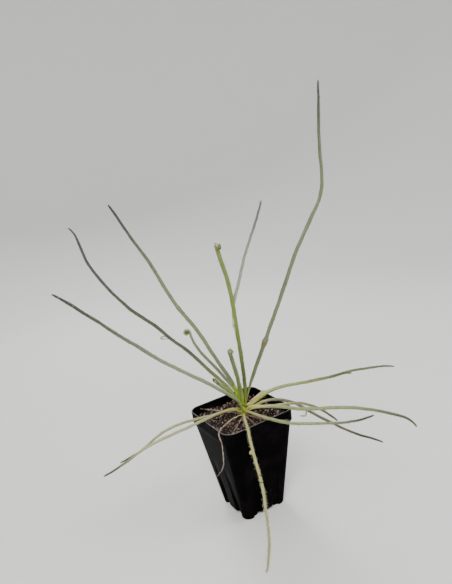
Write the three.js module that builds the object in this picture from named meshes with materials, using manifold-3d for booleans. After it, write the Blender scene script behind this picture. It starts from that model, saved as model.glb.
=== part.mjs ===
import * as THREE from 'three';
import { mergeVertices } from 'three/addons/utils/BufferGeometryUtils.js';
import Module from 'manifold-3d';

const wasm = await Module();
wasm.setup();

// A potted dewy pine, in millimetres, +Z up. The origin is on the pot's axis at floor level.
// Headings turn from +X towards +Y, pitches rise from the horizontal, both in degrees.

const GAP = 0.3;                 // clearance kept between touching pieces
const DEG = Math.PI / 180;

// Square nursery pot
const POT = {
  height: 100, rimSide: 75, bottomSide: 46, rimCorner: 10.5, bottomCorner: 7,
  collarHeight: 12, collarStep: 1.3, lipWall: 1.2, wall: 1.2,
  footHeight: 3, footSide: 13, floor: 1.5, padRadius: 6, drainRadius: 3, drainOffset: 14,
};
const FLUTE = { width: 7.5, offset: 10.5, depth: 2.2, height: 56 };
const CORNER_STEPS = 4;

// Potting mix and the grains that stand out of it
const SOIL = { level: 91.6, swell: 1.6, rings: 8 };
const GRAINS = { count: 44, smallest: 1.1, largest: 2.6, reach: 30, clearOfStem: 7.5, seed: 7 };

// Short stem with the youngest leaves
const CROWN = { x: 2.5, y: -1.5, top: 107.5 };
const STEM_PROFILE = [[79, 1.5], [86, 2.3], [93, 2.6], [98, 2.3], [102, 1.8], [105, 1.3], [107.5, 0.9]];
const STEM_SIDES = 12;
const YOUNG = [
  { heading: 136, pitches: [76, 58], length: 20 },
  { heading: 130, pitches: [82, 68], length: 20 },
  { heading: 124, pitches: [86, 84], length: 20 },
  { heading: 160, pitches: [76, 60], length: 13 },
  { heading: 60, pitches: [86, 78], length: 12 },
];
const YOUNG_WIDTH = 3.2;

// Leaves: seat is the height and the angle round the stem where a leaf starts. Headings and
// pitches are spaced evenly from base to tip. coil adds a tip that rolls up towards a heading,
// sheath a swollen dry part near the base.
const LEAVES = {
  tall_right: {
    seat: [103.6, 341], headings: [350, 345],
    pitches: [70, 64, 61, 60, 62, 60, 62, 63, 61, 56, 55, 57, 81, 91, 87, 84, 85, 84],
    length: 310, width: 3.8,
  },
  centre_coiled: {
    seat: [103.4, 294], headings: [185, 192], pitches: [102, 96, 91, 90, 88, 89, 90, 86, 80, 75, 82],
    length: 155, width: 3.8,
    coil: { turns: 0.85, radius: 3.3, inner: 1, towards: 269 },
  },
  back_thin: {
    seat: [103.4, 35], headings: [15, -5, 9],
    pitches: [64, 83, 90, 90, 92, 97, 81, 64, 66, 66, 59, 56, 60, 63], length: 198, width: 3.1,
  },
  left_straight: {
    seat: [103.8, 85], headings: [119, 118],
    pitches: [86, 66, 56, 60, 61, 54, 49, 57, 63, 63, 57, 54, 58, 60, 53], length: 235, width: 3.7,
  },
  left_wavy: {
    seat: [103, 130], headings: [146, 151],
    pitches: [80, 62, 50, 51, 54, 50, 43, 52, 44, 41, 53, 54, 60, 63, 78, 81, 48], length: 231, width: 3.4,
  },
  left_low: {
    seat: [99.1, 234], headings: [211, 179],
    pitches: [78, 47, 41, 41, 41, 39, 40, 41, 43, 47, 44, 48, 46, 47, 40], length: 227, width: 3.3,
  },
  coiled_left: {
    seat: [99, 50], headings: [82, 110], pitches: [82, 17, 25, 28, 29, 48, 83], length: 106, width: 3.2,
    coil: { turns: 1, radius: 3.4, inner: 0.7, towards: 151 },
  },
  coiled_short: {
    seat: [104.5, 253], headings: [226, 229], pitches: [93, 74, 68, 63, 60], length: 68, width: 3.7,
    coil: { turns: 0.6, radius: 1.9, inner: 1.2, towards: 280 },
  },
  broken_left: {
    seat: [102.8, 193], headings: [203, 184, 169], pitches: [77, 56, 47, 56],
    length: 45, width: 3.7, blunt: true,
  },
  right_upper_long: {
    seat: [101.2, 11], headings: [358, 355],
    pitches: [5, 19, 4, -5, -11, -10, -7, -9, -4, -2, -10, -11, -10, -15, -23], length: 194, width: 3.2,
    sheath: { width: 4.2, from: 10, to: 22 },
  },
  right_upper_short: {
    seat: [99.1, 352], headings: [330, 338], pitches: [28, 34, 15, 1, 0, 2, 6, -14], length: 109, width: 3,
  },
  right_flat: {
    seat: [95.6, 296], headings: [286, 335], pitches: [48, 17, 9, -4, 4, 6, -2, -11, -20, -25, -66],
    length: 166, width: 3.2,
  },
  right_low: {
    seat: [98.2, 274], headings: [260, 277, 295, 290, 300], pitches: [17, 9, 6, 2, 9, 12, 14, 19, 30],
    length: 142, width: 2.6,
  },
  right_arch: {
    seat: [98.3, 313], headings: [299, 316], pitches: [47, 0, 9, 14, 2, -21, -36, -47],
    length: 93, width: 2.7,
  },
  right_drooping: {
    seat: [96.3, 354], headings: [322, 317], pitches: [31, 22, -4, -26, -39, -33, -33, -27, -19, -26],
    length: 138, width: 2.8,
  },
  left_trailing: {
    seat: [97.5, 196], headings: [174, 172], pitches: [44, 4, -7, -7, -5, -7, -11, -23, -19, -10],
    length: 139, width: 2.6,
  },
  left_trailing_upper: {
    seat: [99.8, 146], headings: [171, 174], pitches: [23, -6, 5, 6, -2, -16, -30, -16, -6],
    length: 122, width: 2.6,
  },
  front_long: {
    seat: [95.6, 245], headings: [238, 245, 243, 247, 240, 239, 223],
    pitches: [22, 5, -7, -11, -8, -6, -9, -20], length: 185, width: 2.1,
  },
};
const LEAF = { depth: 0.95, baseWidth: 1.9, baseDepth: 0.75, tipShare: 0.72, endShare: 0.38, step: 8 };

// Withered leaves that lie on the mix or hang over the rim
const WITHERED = {
  withered_left: { seat: [94.2, 130], headings: [129, 129], pitches: [6, 4], length: 42 },
  withered_over_rim: {
    seat: [94.4, 200],
    headings: [193, 200, 212, 217, 217, 215, 221, 280, 262, 262, 262, 266, 266, 266, 266, 266],
    pitches: [12, 12, 9, 9, 8, 10, -14, -64, -106, -94, -109, -122, -134, -136, -138, -142], length: 113,
  },
  withered_front: { seat: [93.9, 227], headings: [226, 226], pitches: [5, 12], length: 41 },
  withered_short: { seat: [93.9, 254], headings: [259, 259], pitches: [3, 7], length: 25 },
  withered_right: {
    seat: [94.2, 280], headings: [265, 265, 300, 345], pitches: [13, 16, 6, 0, -15], length: 57,
  },
};
const WITHERED_SIZE = { width: 1.3, thickness: 0.8, step: 4 };

// Stalked glands: a three-sided stalk with a drop on its end
const GLAND = {
  spacing: 15, bare: 26, root: 0.45, stalk: 1.1, stalkRadius: 0.2, drop: 0.9, dropRadius: 0.42, seed: 11,
};

const COLOURS = {
  pot: { color: 0x101110, roughness: 0.35, metalness: 0 },
  soil: { color: 0x3b2a20, roughness: 0.95, metalness: 0 },
  crown: { color: 0x8a9a35, roughness: 0.5, metalness: 0 },
  leaf: { color: 0x8d9960, roughness: 0.45, metalness: 0 },
  withered: { color: 0xb09a80, roughness: 0.8, metalness: 0 },
};

// Seeded random numbers from 0 to 1
function makeRandom(seed) {
  let state = seed;
  return () => {
    state = (state + 0x6d2b79f5) | 0;
    let t = Math.imul(state ^ (state >>> 15), 1 | state);
    t = (t + Math.imul(t ^ (t >>> 7), 61 | t)) ^ t;
    return ((t ^ (t >>> 14)) >>> 0) / 4294967296;
  };
}

// Value at share 0..1 along a list of evenly spaced values
function along(values, share) {
  const place = share * (values.length - 1);
  const low = Math.min(Math.floor(place), values.length - 2);
  return THREE.MathUtils.lerp(values[low], values[low + 1], place - low);
}

// Value at x on a list of [x, value] pairs in rising x
function profileAt(profile, x) {
  for (let i = 1; i < profile.length; i += 1) {
    const [x0, v0] = profile[i - 1];
    const [x1, v1] = profile[i];
    if (x <= x1) return THREE.MathUtils.lerp(v0, v1, Math.max(0, (x - x0) / (x1 - x0)));
  }
  return profile[profile.length - 1][1];
}

// Closed geometry through rings of equally many points, counter-clockwise seen from the last ring
function loft(rings) {
  const count = rings[0].length;
  const points = rings.flat();
  const centre = (ring) => ring.reduce((sum, p) => sum.add(p), new THREE.Vector3()).divideScalar(count);
  const first = points.push(centre(rings[0])) - 1;
  const last = points.push(centre(rings[rings.length - 1])) - 1;
  const faces = [];
  for (let r = 0; r < rings.length - 1; r += 1) {
    for (let i = 0; i < count; i += 1) {
      const j = (i + 1) % count;
      const a = r * count + i;
      const b = r * count + j;
      faces.push(a, b, b + count, a, b + count, a + count);
    }
  }
  const top = (rings.length - 1) * count;
  for (let i = 0; i < count; i += 1) {
    const j = (i + 1) % count;
    faces.push(first, j, i, last, top + i, top + j);
  }
  const geometry = new THREE.BufferGeometry();
  geometry.setAttribute('position', new THREE.Float32BufferAttribute(points.flatMap((p) => p.toArray()), 3));
  geometry.setIndex(faces);
  return geometry;
}

function toSolid(geometry) {
  const bare = geometry.clone();
  bare.deleteAttribute('normal');
  bare.deleteAttribute('uv');
  const merged = mergeVertices(bare, 1e-4);
  return new wasm.Manifold(new wasm.Mesh({
    numProp: 3,
    vertProperties: new Float32Array(merged.attributes.position.array),
    triVerts: new Uint32Array(merged.index.array),
  }));
}

function toGeometry(solid) {
  const mesh = solid.getMesh();
  const geometry = new THREE.BufferGeometry();
  geometry.setAttribute('position', new THREE.BufferAttribute(new Float32Array(mesh.vertProperties), 3));
  geometry.setIndex(new THREE.BufferAttribute(new Uint32Array(mesh.triVerts), 1));
  geometry.computeVertexNormals();
  return geometry;
}

const joinAll = (solids) => solids.reduce((whole, solid) => whole.add(solid));

function box(width, depth, height, x, y, z) {
  return toSolid(new THREE.BoxGeometry(width, depth, height).translate(x, y, z));
}

function uprightCylinder(radius, low, high, x, y, sides = 16) {
  const geometry = new THREE.CylinderGeometry(radius, radius, high - low, sides);
  return toSolid(geometry.rotateX(Math.PI / 2).translate(x, y, (low + high) / 2));
}

// Outline of a square with round corners
function roundSquare(side, corner, z) {
  const ring = [];
  const inner = side / 2 - corner;
  for (const [sx, sy, start] of [[1, 1, 0], [-1, 1, 90], [-1, -1, 180], [1, -1, 270]]) {
    for (let i = 0; i <= CORNER_STEPS; i += 1) {
      const angle = (start + (90 * i) / CORNER_STEPS) * DEG;
      ring.push(new THREE.Vector3(
        sx * inner + corner * Math.cos(angle),
        sy * inner + corner * Math.sin(angle),
        z,
      ));
    }
  }
  return ring;
}

// Outer side and corner radius of the tapered body below the collar
const collarBase = POT.height - POT.collarHeight;
const bodyTopSide = POT.rimSide - 2 * POT.collarStep - 0.8;
const bodySide = (z) => THREE.MathUtils.lerp(POT.bottomSide, bodyTopSide, z / collarBase);
const bodyCorner = (z) => THREE.MathUtils.lerp(POT.bottomCorner, POT.rimCorner - POT.collarStep, z / collarBase);
const floorTop = POT.footHeight + POT.floor;

// Inside of the pot, smaller by inset all round; the lower wall is thick enough to back the flutes
function potInside(inset, top) {
  const backed = 2 * (FLUTE.depth + POT.wall);
  const rings = [
    [POT.bottomSide - backed, POT.bottomCorner - 2, floorTop + inset],
    [bodySide(FLUTE.height) - 2 * POT.wall, bodyCorner(FLUTE.height) - POT.wall, FLUTE.height],
    [bodySide(collarBase) - 2 * POT.wall, bodyCorner(collarBase) - POT.wall, collarBase - 0.4],
    [POT.rimSide - 0.9 - 2 * POT.lipWall, POT.rimCorner - POT.lipWall, collarBase + 1.6],
    [POT.rimSide - 2 * POT.lipWall, POT.rimCorner - POT.lipWall, POT.height + 1],
  ];
  const last = rings.findIndex(([, , z]) => z >= top);
  const share = (top - rings[last - 1][2]) / (rings[last][2] - rings[last - 1][2]);
  const rim = rings[last - 1].map((value, i) => THREE.MathUtils.lerp(value, rings[last][i], share));
  return [...rings.slice(0, last), rim].map(([s, c, z]) => roundSquare(s - 2 * inset, c - inset, z));
}

function buildPot() {
  const { rimSide, rimCorner, height, bottomSide, bottomCorner } = POT;
  const outside = loft([
    roundSquare(bottomSide - 1, bottomCorner - 0.5, 0),
    roundSquare(bottomSide, bottomCorner, 0.8),
    roundSquare(bodySide(collarBase), bodyCorner(collarBase), collarBase),
    roundSquare(rimSide - 0.8, rimCorner - 0.2, collarBase + 0.6),
    roundSquare(rimSide, rimCorner, height - 0.7),
    roundSquare(rimSide - 0.8, rimCorner - 0.4, height),
  ]);
  let pot = toSolid(outside).subtract(toSolid(loft(potInside(0, height + 1))));

  // Sloping flutes, two on each face, deepest at the bottom
  const slope = new THREE.Shape([
    new THREE.Vector2(POT.bottomSide / 2 - FLUTE.depth, -0.5),
    new THREE.Vector2(POT.bottomSide / 2 + 20, -0.5),
    new THREE.Vector2(POT.bottomSide / 2 + 20, FLUTE.height),
    new THREE.Vector2(bodySide(FLUTE.height) / 2, FLUTE.height),
  ]);
  for (let face = 0; face < 4; face += 1) {
    for (const shift of [-FLUTE.offset, FLUTE.offset]) {
      const flute = new THREE.ExtrudeGeometry(slope, { depth: FLUTE.width, bevelEnabled: false, steps: 1 });
      flute.translate(0, 0, -FLUTE.width / 2).rotateX(Math.PI / 2).translate(0, shift, 0);
      flute.rotateZ(face * 90 * DEG);
      pot = pot.subtract(toSolid(flute));
    }
  }

  // Raised channels under the floor leave four feet and a flat round pad in the middle
  const channel = POT.bottomSide - 2 * POT.footSide;
  const under = POT.footHeight / 2 - 0.5;
  const cross = box(channel, 80, POT.footHeight + 1, 0, 0, under)
    .add(box(80, channel, POT.footHeight + 1, 0, 0, under))
    .subtract(uprightCylinder(POT.padRadius, -2, POT.footHeight + 1, 0, 0));
  pot = pot.subtract(cross);
  for (let side = 0; side < 4; side += 1) {
    const x = POT.drainOffset * Math.cos(side * 90 * DEG);
    const y = POT.drainOffset * Math.sin(side * 90 * DEG);
    pot = pot.subtract(uprightCylinder(POT.drainRadius, -1, floorTop + 1, x, y, 12));
  }
  return pot;
}

// Gentle swell of the mix's surface, rising a little towards the stem
function soilHeight(x, y) {
  const ripple = Math.sin(x * 0.31 + 1.3) * Math.cos(y * 0.27 - 0.6) + 0.5 * Math.sin(x * 0.7 - y * 0.55);
  const mound = Math.exp(-((x - CROWN.x) ** 2 + (y - CROWN.y) ** 2) / 180);
  return SOIL.level + SOIL.swell * (0.32 * ripple + 0.35 * mound);
}

function buildSoil() {
  const edge = SOIL.level - 1.2;
  const rings = potInside(GAP, edge);
  const rim = rings[rings.length - 1];
  for (let r = 1; r < SOIL.rings; r += 1) {
    const share = 1 - r / SOIL.rings;
    rings.push(rim.map((p) => new THREE.Vector3(p.x * share, p.y * share, soilHeight(p.x * share, p.y * share))));
  }
  const random = makeRandom(GRAINS.seed);
  const solids = [toSolid(loft(rings))];
  while (solids.length <= GRAINS.count) {
    const x = (2 * random() - 1) * GRAINS.reach;
    const y = (2 * random() - 1) * GRAINS.reach;
    const size = THREE.MathUtils.lerp(GRAINS.smallest, GRAINS.largest, random() ** 2);
    const turn = new THREE.Euler(random() * 6, random() * 6, random() * 6);
    if (Math.hypot(x - CROWN.x, y - CROWN.y) < GRAINS.clearOfStem) continue;
    const grain = new THREE.OctahedronGeometry(size).applyMatrix4(new THREE.Matrix4().makeRotationFromEuler(turn));
    grain.scale(1, 1, 0.7).translate(x, y, soilHeight(x, y) + 0.1 * size);
    solids.push(toSolid(grain));
  }
  const clear = GAP + 0.05;
  const rootEnd = STEM_PROFILE[0][0] - 0.5 - clear;
  const stemHole = new THREE.LatheGeometry([
    new THREE.Vector2(0, rootEnd),
    new THREE.Vector2(STEM_PROFILE[0][1] + clear, rootEnd),
    ...STEM_PROFILE.filter(([z]) => z < SOIL.level + 7).map(([z, r]) => new THREE.Vector2(r + clear, z)),
    new THREE.Vector2(0, SOIL.level + 7),
  ], STEM_SIDES);
  stemHole.rotateX(Math.PI / 2).translate(CROWN.x, CROWN.y, 0);
  return joinAll(solids).subtract(toSolid(stemHole));
}

// Unit direction of a heading and a pitch
function direction(heading, pitch) {
  const h = heading * DEG;
  const p = pitch * DEG;
  return new THREE.Vector3(Math.cos(p) * Math.cos(h), Math.cos(p) * Math.sin(h), Math.sin(p));
}

// Stations along a leaf, each with its place, its axes and its share of the length
function stationsOf(leaf, start, step) {
  const stations = [];
  const place = start.clone();
  const put = (heading, pitch, share) => stations.push({
    place: place.clone(),
    ahead: direction(heading, pitch),
    across: direction(heading + 90, 0),
    upper: direction(heading, pitch + 90),
    share,
  });
  const coilLength = leaf.coil ? Math.PI * leaf.coil.turns * (leaf.coil.radius + leaf.coil.inner) : 0;
  const whole = leaf.length + coilLength;
  const count = Math.round(leaf.length / step);
  for (let i = 0; i < count; i += 1) {
    put(along(leaf.headings, i / count), along(leaf.pitches, i / count), (i * leaf.length) / count / whole);
    const middle = (i + 0.5) / count;
    place.addScaledVector(direction(along(leaf.headings, middle), along(leaf.pitches, middle)), leaf.length / count);
  }
  put(leaf.headings[leaf.headings.length - 1], leaf.pitches[leaf.pitches.length - 1], leaf.length / whole);
  return leaf.coil ? rollTip(stations, leaf.coil) : stations;
}

// Rolls the tip up in the plane of the leaf's end and the heading it rolls towards, and twists the
// leaf below so that its upper side comes out on the outside of the roll
function rollTip(stations, { turns, radius, inner, towards }) {
  const end = stations[stations.length - 1];
  const inward = direction(towards, 0).projectOnPlane(end.ahead).normalize();
  const across = end.ahead.clone().cross(inward);
  const twist = Math.atan2(across.dot(end.upper), across.dot(end.across));
  for (const station of stations) {
    const angle = twist * THREE.MathUtils.smoothstep(station.share / end.share, 0.3, 1);
    station.across.applyAxisAngle(station.ahead, angle);
    station.upper.applyAxisAngle(station.ahead, angle);
  }
  const parts = Math.round(turns * 14);
  const turn = (2 * Math.PI * turns) / parts;
  const bent = (angle) => end.ahead.clone().multiplyScalar(Math.cos(angle)).addScaledVector(inward, Math.sin(angle));
  const place = end.place.clone();
  for (let i = 1; i <= parts; i += 1) {
    const step = THREE.MathUtils.lerp(radius, inner, (i - 0.5) / parts) * turn;
    place.addScaledVector(bent((i - 0.5) * turn), step);
    const ahead = bent(i * turn);
    stations.push({
      place: place.clone(), ahead, across: across.clone(), upper: across.clone().cross(ahead).negate(),
      share: THREE.MathUtils.lerp(end.share, 1, i / parts), rolled: true,
    });
  }
  return stations;
}

// Where a leaf starts: on the stem's surface, held off by the clearance
function seatOf(leaf, width, thickness) {
  const [z, angle] = leaf.seat;
  const turn = (leaf.headings[0] - angle) * DEG;
  const swing = Math.abs(Math.sin(turn)) * (width / 2);
  const lean = Math.abs(Math.sin(leaf.pitches[0] * DEG) * Math.cos(turn)) * (thickness / 2);
  const radius = profileAt(STEM_PROFILE, z - thickness / 2) + GAP + 0.05 + lean + swing;
  return new THREE.Vector3(CROWN.x, CROWN.y, z).addScaledVector(direction(angle, 0), radius);
}

// A leaf's section: rounded below, channelled above
function leafRing({ place, across, upper }, width, thickness) {
  const outline = [[0, -0.5], [0.5, 0.05], [0.33, 0.5], [0, 0.15], [-0.33, 0.5], [-0.5, 0.05]];
  return outline.map(([u, v]) => place.clone()
    .addScaledVector(across, u * width)
    .addScaledVector(upper, v * thickness));
}

// One gland, standing along +Z with its root below zero
function glandGeometry() {
  const ring = (radius, z) => [0, 120, 240].map((angle) => new THREE.Vector3(
    radius * Math.cos(angle * DEG), radius * Math.sin(angle * DEG), z));
  return loft([
    ring(GLAND.stalkRadius, -GLAND.root),
    ring(GLAND.stalkRadius * 0.8, GLAND.stalk),
    ring(GLAND.dropRadius, GLAND.stalk + GLAND.drop * 0.45),
    ring(GLAND.dropRadius * 0.3, GLAND.stalk + GLAND.drop),
  ]);
}

// Glands along both edges, the back and the lips of a leaf, out to its tip
function glandsOn(stations, widthAt, thicknessAt, length, random) {
  const sides = [0, 200, 335, 90, 215, 325, 265];
  const count = Math.max(3, Math.round(length / GLAND.spacing));
  const glands = [];
  for (let i = 0; i < count; i += 1) {
    const bare = Math.min(GLAND.bare / length, 0.4);
    const share = THREE.MathUtils.lerp(bare, 0.985, (i + 0.5 * random()) / (count - 0.5));
    const station = stations.reduce((best, s) => (
      Math.abs(s.share - share) < Math.abs(best.share - share) ? s : best));
    const angle = (sides[i % sides.length] + 16 * (random() - 0.5)) * DEG;
    const out = station.across.clone().multiplyScalar(Math.cos(angle))
      .addScaledVector(station.upper, Math.sin(angle));
    const u = Math.cos(angle) * widthAt(station.share) * 0.42;
    const v = Math.sin(angle) * thicknessAt(station.share) * 0.3;
    const root = station.place.clone().addScaledVector(station.across, u).addScaledVector(station.upper, v);
    const turn = new THREE.Quaternion().setFromUnitVectors(new THREE.Vector3(0, 0, 1), out);
    const gland = glandGeometry().applyQuaternion(turn).translate(root.x, root.y, root.z);
    glands.push(toSolid(gland));
  }
  return glands;
}

function buildLeaf(leaf, index) {
  const { width } = leaf;
  const start = seatOf(leaf, LEAF.baseWidth, LEAF.baseWidth * LEAF.baseDepth);
  const stations = stationsOf(leaf, start, LEAF.step);
  const full = 0.1;
  const taper = [[0, LEAF.baseWidth], [full * 0.4, LEAF.baseWidth]];
  if (leaf.sheath) {
    const { width: wide, from, to } = leaf.sheath;
    taper.push([from / leaf.length, wide], [to / leaf.length, wide], [(to + 3) / leaf.length, width]);
  } else {
    taper.push([leaf.blunt ? 0.8 : full, width]);
  }
  if (leaf.blunt) taper.push([1, width * 0.9]);
  else if (leaf.coil) taper.push([stations.find((s) => s.rolled).share, width], [1, width * 0.65]);
  else taper.push([0.55, width], [0.94, width * LEAF.tipShare], [1, width * LEAF.endShare]);
  const widthAt = (share) => profileAt(taper, share);
  const thicknessAt = (share) => widthAt(share) * profileAt([[0, LEAF.baseDepth], [full, LEAF.depth]], share);
  const blade = loft(stations.map((s) => leafRing(s, widthAt(s.share), thicknessAt(s.share))));
  const random = makeRandom(GLAND.seed + index);
  return joinAll([toSolid(blade), ...glandsOn(stations, widthAt, thicknessAt, leaf.length, random)]);
}

function buildWithered(leaf) {
  const start = seatOf(leaf, WITHERED_SIZE.width, WITHERED_SIZE.thickness);
  const stations = stationsOf(leaf, start, WITHERED_SIZE.step);
  const rings = stations.map(({ place, across, upper, share }, i) => {
    const shrink = THREE.MathUtils.lerp(1, 0.45, share) * (1 + 0.12 * Math.sin(i * 2.1));
    const turn = 0.5 * Math.sin(i * 0.9);
    return [45, 135, 225, 315].map((angle) => place.clone()
      .addScaledVector(across, 0.62 * WITHERED_SIZE.width * shrink * Math.cos(angle * DEG + turn))
      .addScaledVector(upper, 0.62 * WITHERED_SIZE.thickness * shrink * Math.sin(angle * DEG + turn)));
  });
  return toSolid(loft(rings));
}

// Stem with the young leaves that stand out of its top
function buildCrown() {
  const stem = new THREE.LatheGeometry([
    new THREE.Vector2(0, STEM_PROFILE[0][0] - 0.5),
    ...STEM_PROFILE.map(([z, r]) => new THREE.Vector2(r, z)),
    new THREE.Vector2(0, CROWN.top + 0.6),
  ], STEM_SIDES);
  stem.rotateX(Math.PI / 2).translate(CROWN.x, CROWN.y, 0);
  const young = YOUNG.map(({ heading, pitches, length }) => {
    const start = new THREE.Vector3(CROWN.x, CROWN.y, CROWN.top - 3).addScaledVector(direction(heading, 0), 0.3);
    const leaf = { headings: [heading, heading], pitches, length };
    return toSolid(loft(stationsOf(leaf, start, 3.5).map((s) => {
      const width = YOUNG_WIDTH * (1 - 0.5 * s.share);
      return leafRing(s, width, width * 0.75);
    })));
  });
  return joinAll([toSolid(stem), ...young]);
}

const plant = new THREE.Group();

function addMesh(name, solid, look) {
  const mesh = new THREE.Mesh(toGeometry(solid), new THREE.MeshStandardMaterial(COLOURS[look]));
  mesh.name = name;
  plant.add(mesh);
}

addMesh('pot', buildPot(), 'pot');
addMesh('soil', buildSoil(), 'soil');
addMesh('crown', buildCrown(), 'crown');
Object.entries(LEAVES).forEach(([name, leaf], index) => addMesh(`leaf_${name}`, buildLeaf(leaf, index), 'leaf'));
Object.entries(WITHERED).forEach(([name, leaf]) => addMesh(`leaf_${name}`, buildWithered(leaf), 'withered'));

export default plant;
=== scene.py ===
import math
import bpy
import numpy as np
from mathutils import Matrix, Vector


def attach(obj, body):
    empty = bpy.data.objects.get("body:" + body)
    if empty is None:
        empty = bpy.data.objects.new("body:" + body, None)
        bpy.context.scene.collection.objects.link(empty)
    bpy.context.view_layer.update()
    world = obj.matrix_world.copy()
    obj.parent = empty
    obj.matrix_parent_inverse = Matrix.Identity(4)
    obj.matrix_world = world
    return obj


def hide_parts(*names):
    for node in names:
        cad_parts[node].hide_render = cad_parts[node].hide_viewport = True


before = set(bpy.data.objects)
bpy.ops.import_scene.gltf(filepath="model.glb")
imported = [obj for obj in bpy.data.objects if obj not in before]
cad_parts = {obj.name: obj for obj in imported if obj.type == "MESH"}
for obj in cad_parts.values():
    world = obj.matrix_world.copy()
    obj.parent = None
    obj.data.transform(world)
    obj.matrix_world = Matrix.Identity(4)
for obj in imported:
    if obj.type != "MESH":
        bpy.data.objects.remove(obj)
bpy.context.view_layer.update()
mm = 0.001
degrees = math.pi / 180

# Camera, at the photograph's angle
cameraSpec = {
    "azimuth": -29, "elevation": 13.2, "roll": -8.5, "distance": 0.465,
    "target": (0.0031, -0.001, 0.2146), "lens": 31.75, "sensor": 36,
}


def makeCamera(spec):
    turn = spec["azimuth"] * degrees
    rise = spec["elevation"] * degrees
    roll = spec["roll"] * degrees
    back = Vector((math.sin(turn) * math.cos(rise), -math.cos(turn) * math.cos(rise), math.sin(rise)))
    level = Vector((math.cos(turn), math.sin(turn), 0))
    upright = back.cross(level)
    right = level * math.cos(roll) + upright * math.sin(roll)
    up = upright * math.cos(roll) - level * math.sin(roll)
    place = Vector(spec["target"]) + back * spec["distance"]
    data = bpy.data.cameras.new("camera")
    data.lens = spec["lens"]
    data.sensor_width = spec["sensor"]
    data.clip_start = 0.01
    camera = bpy.data.objects.new("camera", data)
    camera.matrix_world = Matrix((
        (right.x, up.x, back.x, place.x),
        (right.y, up.y, back.y, place.y),
        (right.z, up.z, back.z, place.z),
        (0, 0, 0, 1),
    ))
    bpy.context.scene.collection.objects.link(camera)
    bpy.context.scene.camera = camera


makeCamera(cameraSpec)
print("camera placed")

# Mesh helpers


def meshObject(name, points, faces, materials, values=None, faceSlots=None, sharpAngle=None):
    mesh = bpy.data.meshes.new(name)
    mesh.from_pydata([tuple(p) for p in points], [], [tuple(int(i) for i in f) for f in faces])
    for key, numbers in (values or {}).items():
        attribute = mesh.attributes.new(key, "FLOAT", "POINT")
        attribute.data.foreach_set("value", np.asarray(numbers, np.float32))
    for material in materials:
        mesh.materials.append(material)
    if faceSlots is not None:
        mesh.polygons.foreach_set("material_index", np.asarray(faceSlots, np.int32))
    mesh.shade_smooth()
    if sharpAngle is not None:
        mesh.set_sharp_from_angle(angle=sharpAngle * degrees)
    mesh.update()
    piece = bpy.data.objects.new(name, mesh)
    bpy.context.scene.collection.objects.link(piece)
    return piece


def loftFaces(rings, count, first=0):
    # quads between rings of count points each, closed by a fan at both ends
    faces = []
    for r in range(rings - 1):
        for i in range(count):
            j = (i + 1) % count
            a = first + r * count
            faces.append((a + i, a + j, a + count + j, a + count + i))
    low = first + rings * count
    top = first + (rings - 1) * count
    for i in range(count):
        j = (i + 1) % count
        faces.append((low, first + j, first + i))
        faces.append((low + 1, top + i, top + j))
    return faces


def loftPoints(rings):
    # ring points with the two end centres behind them
    rings = np.asarray(rings, float)
    return np.vstack([rings.reshape(-1, 3), rings[0].mean(0), rings[-1].mean(0)])


def manyCopies(points, faces, places, axes, sizes):
    # copies of one small closed shape: points are scaled by sizes, turned by axes and moved
    count = len(places)
    turned = np.einsum("nij,nkj->nki", axes, points[None] * sizes[:, None, :])
    allPoints = (turned + places[:, None, :]).reshape(-1, 3)
    allFaces = (faces[None] + (np.arange(count) * len(points))[:, None, None]).reshape(-1, faces.shape[1])
    return allPoints, allFaces


def icosphere(level):
    t = (1 + 5 ** 0.5) / 2
    points = [(-1, t, 0), (1, t, 0), (-1, -t, 0), (1, -t, 0), (0, -1, t), (0, 1, t),
              (0, -1, -t), (0, 1, -t), (t, 0, -1), (t, 0, 1), (-t, 0, -1), (-t, 0, 1)]
    faces = [(0, 11, 5), (0, 5, 1), (0, 1, 7), (0, 7, 10), (0, 10, 11), (1, 5, 9), (5, 11, 4),
             (11, 10, 2), (10, 7, 6), (7, 1, 8), (3, 9, 4), (3, 4, 2), (3, 2, 6), (3, 6, 8),
             (3, 8, 9), (4, 9, 5), (2, 4, 11), (6, 2, 10), (8, 6, 7), (9, 8, 1)]
    points = [np.array(p, float) / np.linalg.norm(p) for p in points]
    for _ in range(level):
        middle = {}
        finer = []
        for a, b, c in faces:
            cut = []
            for u, v in ((a, b), (b, c), (c, a)):
                key = (min(u, v), max(u, v))
                if key not in middle:
                    middle[key] = len(points)
                    between = points[u] + points[v]
                    points.append(between / np.linalg.norm(between))
                cut.append(middle[key])
            finer += [(a, cut[0], cut[2]), (b, cut[1], cut[0]), (c, cut[2], cut[1]), tuple(cut)]
        faces = finer
    return np.array(points), np.array(faces)


def along(values, share):
    # value at share 0..1 of an evenly spaced list
    return np.interp(share, np.linspace(0, 1, len(values)), values)


def waves(distance, seed, lengths, amount):
    # smooth seeded wobble along a line, distance in millimetres
    source = np.random.RandomState(seed)
    total = np.zeros_like(distance, dtype=float)
    for length in lengths:
        total += np.sin(distance / length * 2 * math.pi + source.uniform(0, 2 * math.pi))
    return amount * total / len(lengths)


# Shader helpers


def addNode(tree, kind, **settings):
    node = tree.nodes.new(kind)
    for key, value in settings.items():
        setattr(node, key, value)
    return node


def makeGroup(name, inputs, outputs):
    group = bpy.data.node_groups.new(name, "ShaderNodeTree")
    for label, kind, value in inputs:
        socket = group.interface.new_socket(name=label, in_out="INPUT", socket_type="NodeSocket" + kind)
        if value is not None:
            socket.default_value = value
    for label, kind in outputs:
        group.interface.new_socket(name=label, in_out="OUTPUT", socket_type="NodeSocket" + kind)
    return group, group.nodes.new("NodeGroupInput"), group.nodes.new("NodeGroupOutput")


def placeGroup(tree, group, **values):
    node = addNode(tree, "ShaderNodeGroup", node_tree=group)
    for key, value in values.items():
        label = "".join(" " + c if c.isupper() else c for c in key).strip().title()
        node.inputs[label].default_value = value
    return node


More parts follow.
